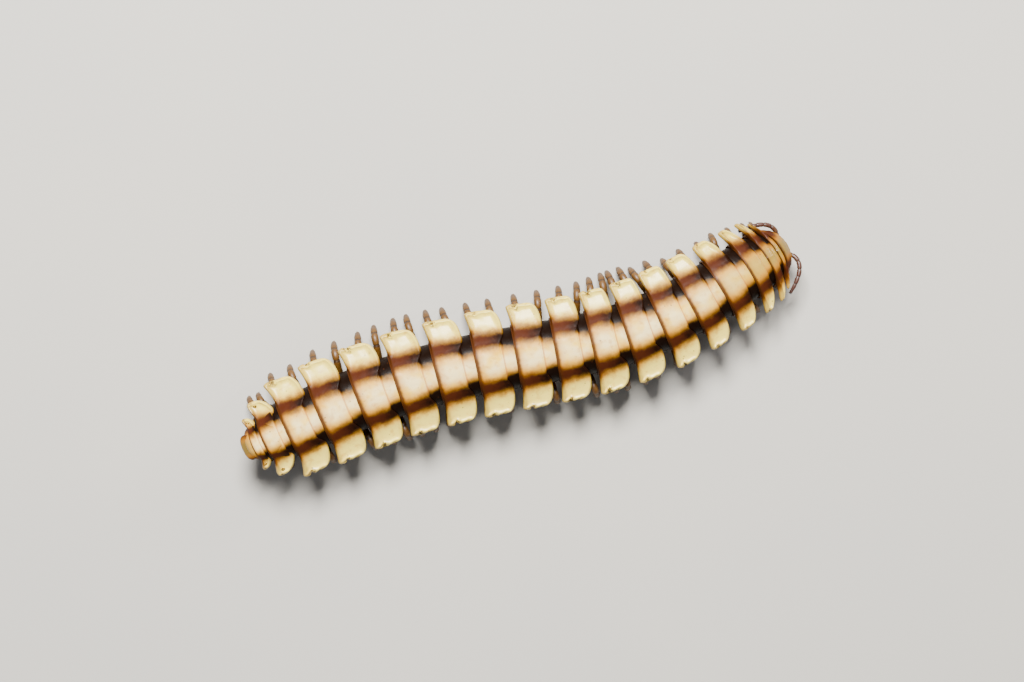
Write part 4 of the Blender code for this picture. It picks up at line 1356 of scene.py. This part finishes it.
def make_telson(line, material):
    """Last ring with its broad tail plate, two anal valves and the scale under them."""
    skin = Skin(*SHELL_VALUES)
    rotation = turn(along_body(YAW, LAST_RING), along_body(DIP, LAST_RING))
    start = line[LAST_RING] - rotation @ Vector((GAP, 0, 0))
    telson_trunk(line, start, rotation, skin)
    tail_plate(start, rotation, skin)
    end = (start, rotation)
    way = rotation @ Vector((-1, 0, 0.1))
    for side in (1, -1):
        skin.add_part(end, VALVE, side, 32, 20, 0.9)
        for root in VALVE_BRISTLES:
            skin.add_bristle(spot(*end, *sided(root, side)), way, FACE_BRISTLE_LENGTH, VALVE_BRISTLE_PAINT)
    skin.add_part(end, TAIL_SCALE, 1, 24, 12)
    skin.piece("telson_shell", material, "ring_shell", "telson")


def make_floor():
    mesh = bpy.data.meshes.new("floor")
    half = FLOOR_SIZE / 2
    corners = [(-half, -half, 0), (half, -half, 0), (half, half, 0), (-half, half, 0)]
    mesh.from_pydata(corners, [], [(0, 1, 2, 3)])
    mesh.materials.append(floor_material())
    add_object("floor", mesh)


def make_camera(shift):
    camera = add_object("camera", bpy.data.cameras.new("camera"))
    camera.data.lens = CAMERA_LENS
    camera.location = Vector(CAMERA_PLACE) * MM + shift
    camera.rotation_euler = [math.radians(angle) for angle in CAMERA_TURN]
    bpy.context.scene.camera = camera


def make_lights():
    """A soft key from above the animal's left side, a broad fill, a small front lamp and an even sky."""
    for name, place, aim, size, power_in_watts, tint in LAMPS:
        light = add_object(name, bpy.data.lights.new(name, "AREA"))
        light.data.shape = "DISK"
        light.data.size = size
        light.data.energy = power_in_watts
        light.data.color = tint
        light.location = place
        light.rotation_euler = (Vector(aim) - Vector(place)).to_track_quat("-Z", "Y").to_euler()
    world = bpy.data.worlds.new("studio")
    world.use_nodes = True
    sky = world.node_tree.nodes["Background"].inputs
    sky["Color"].default_value = SKY_COLOUR
    sky["Strength"].default_value = SKY_STRENGTH
    bpy.context.scene.world = world


def main():
    line = back_line()
    shift = cad_shift(line)
    line = {ring: point + shift for ring, point in line.items()}
    make_camera(shift)
    make_lights()
    make_floor()
    shell = shell_material()
    limb = limb_material("limb_horn", LEG_BROWN, LEG_DARK, LEG_PALE, 0.1)
    feeler = limb_material("feeler_horn", FEELER_BROWN, FEELER_DARK, LEG_BROWN, 0.2)
    make_rings(line, shell)
    make_collum(line, shell)
    make_telson(line, shell)
    horn = head_material()
    make_face(head_place(line), horn)
    make_mouthparts(head_place(line), horn)
    make_antennae(line, feeler)
    make_legs(line, limb)


main()
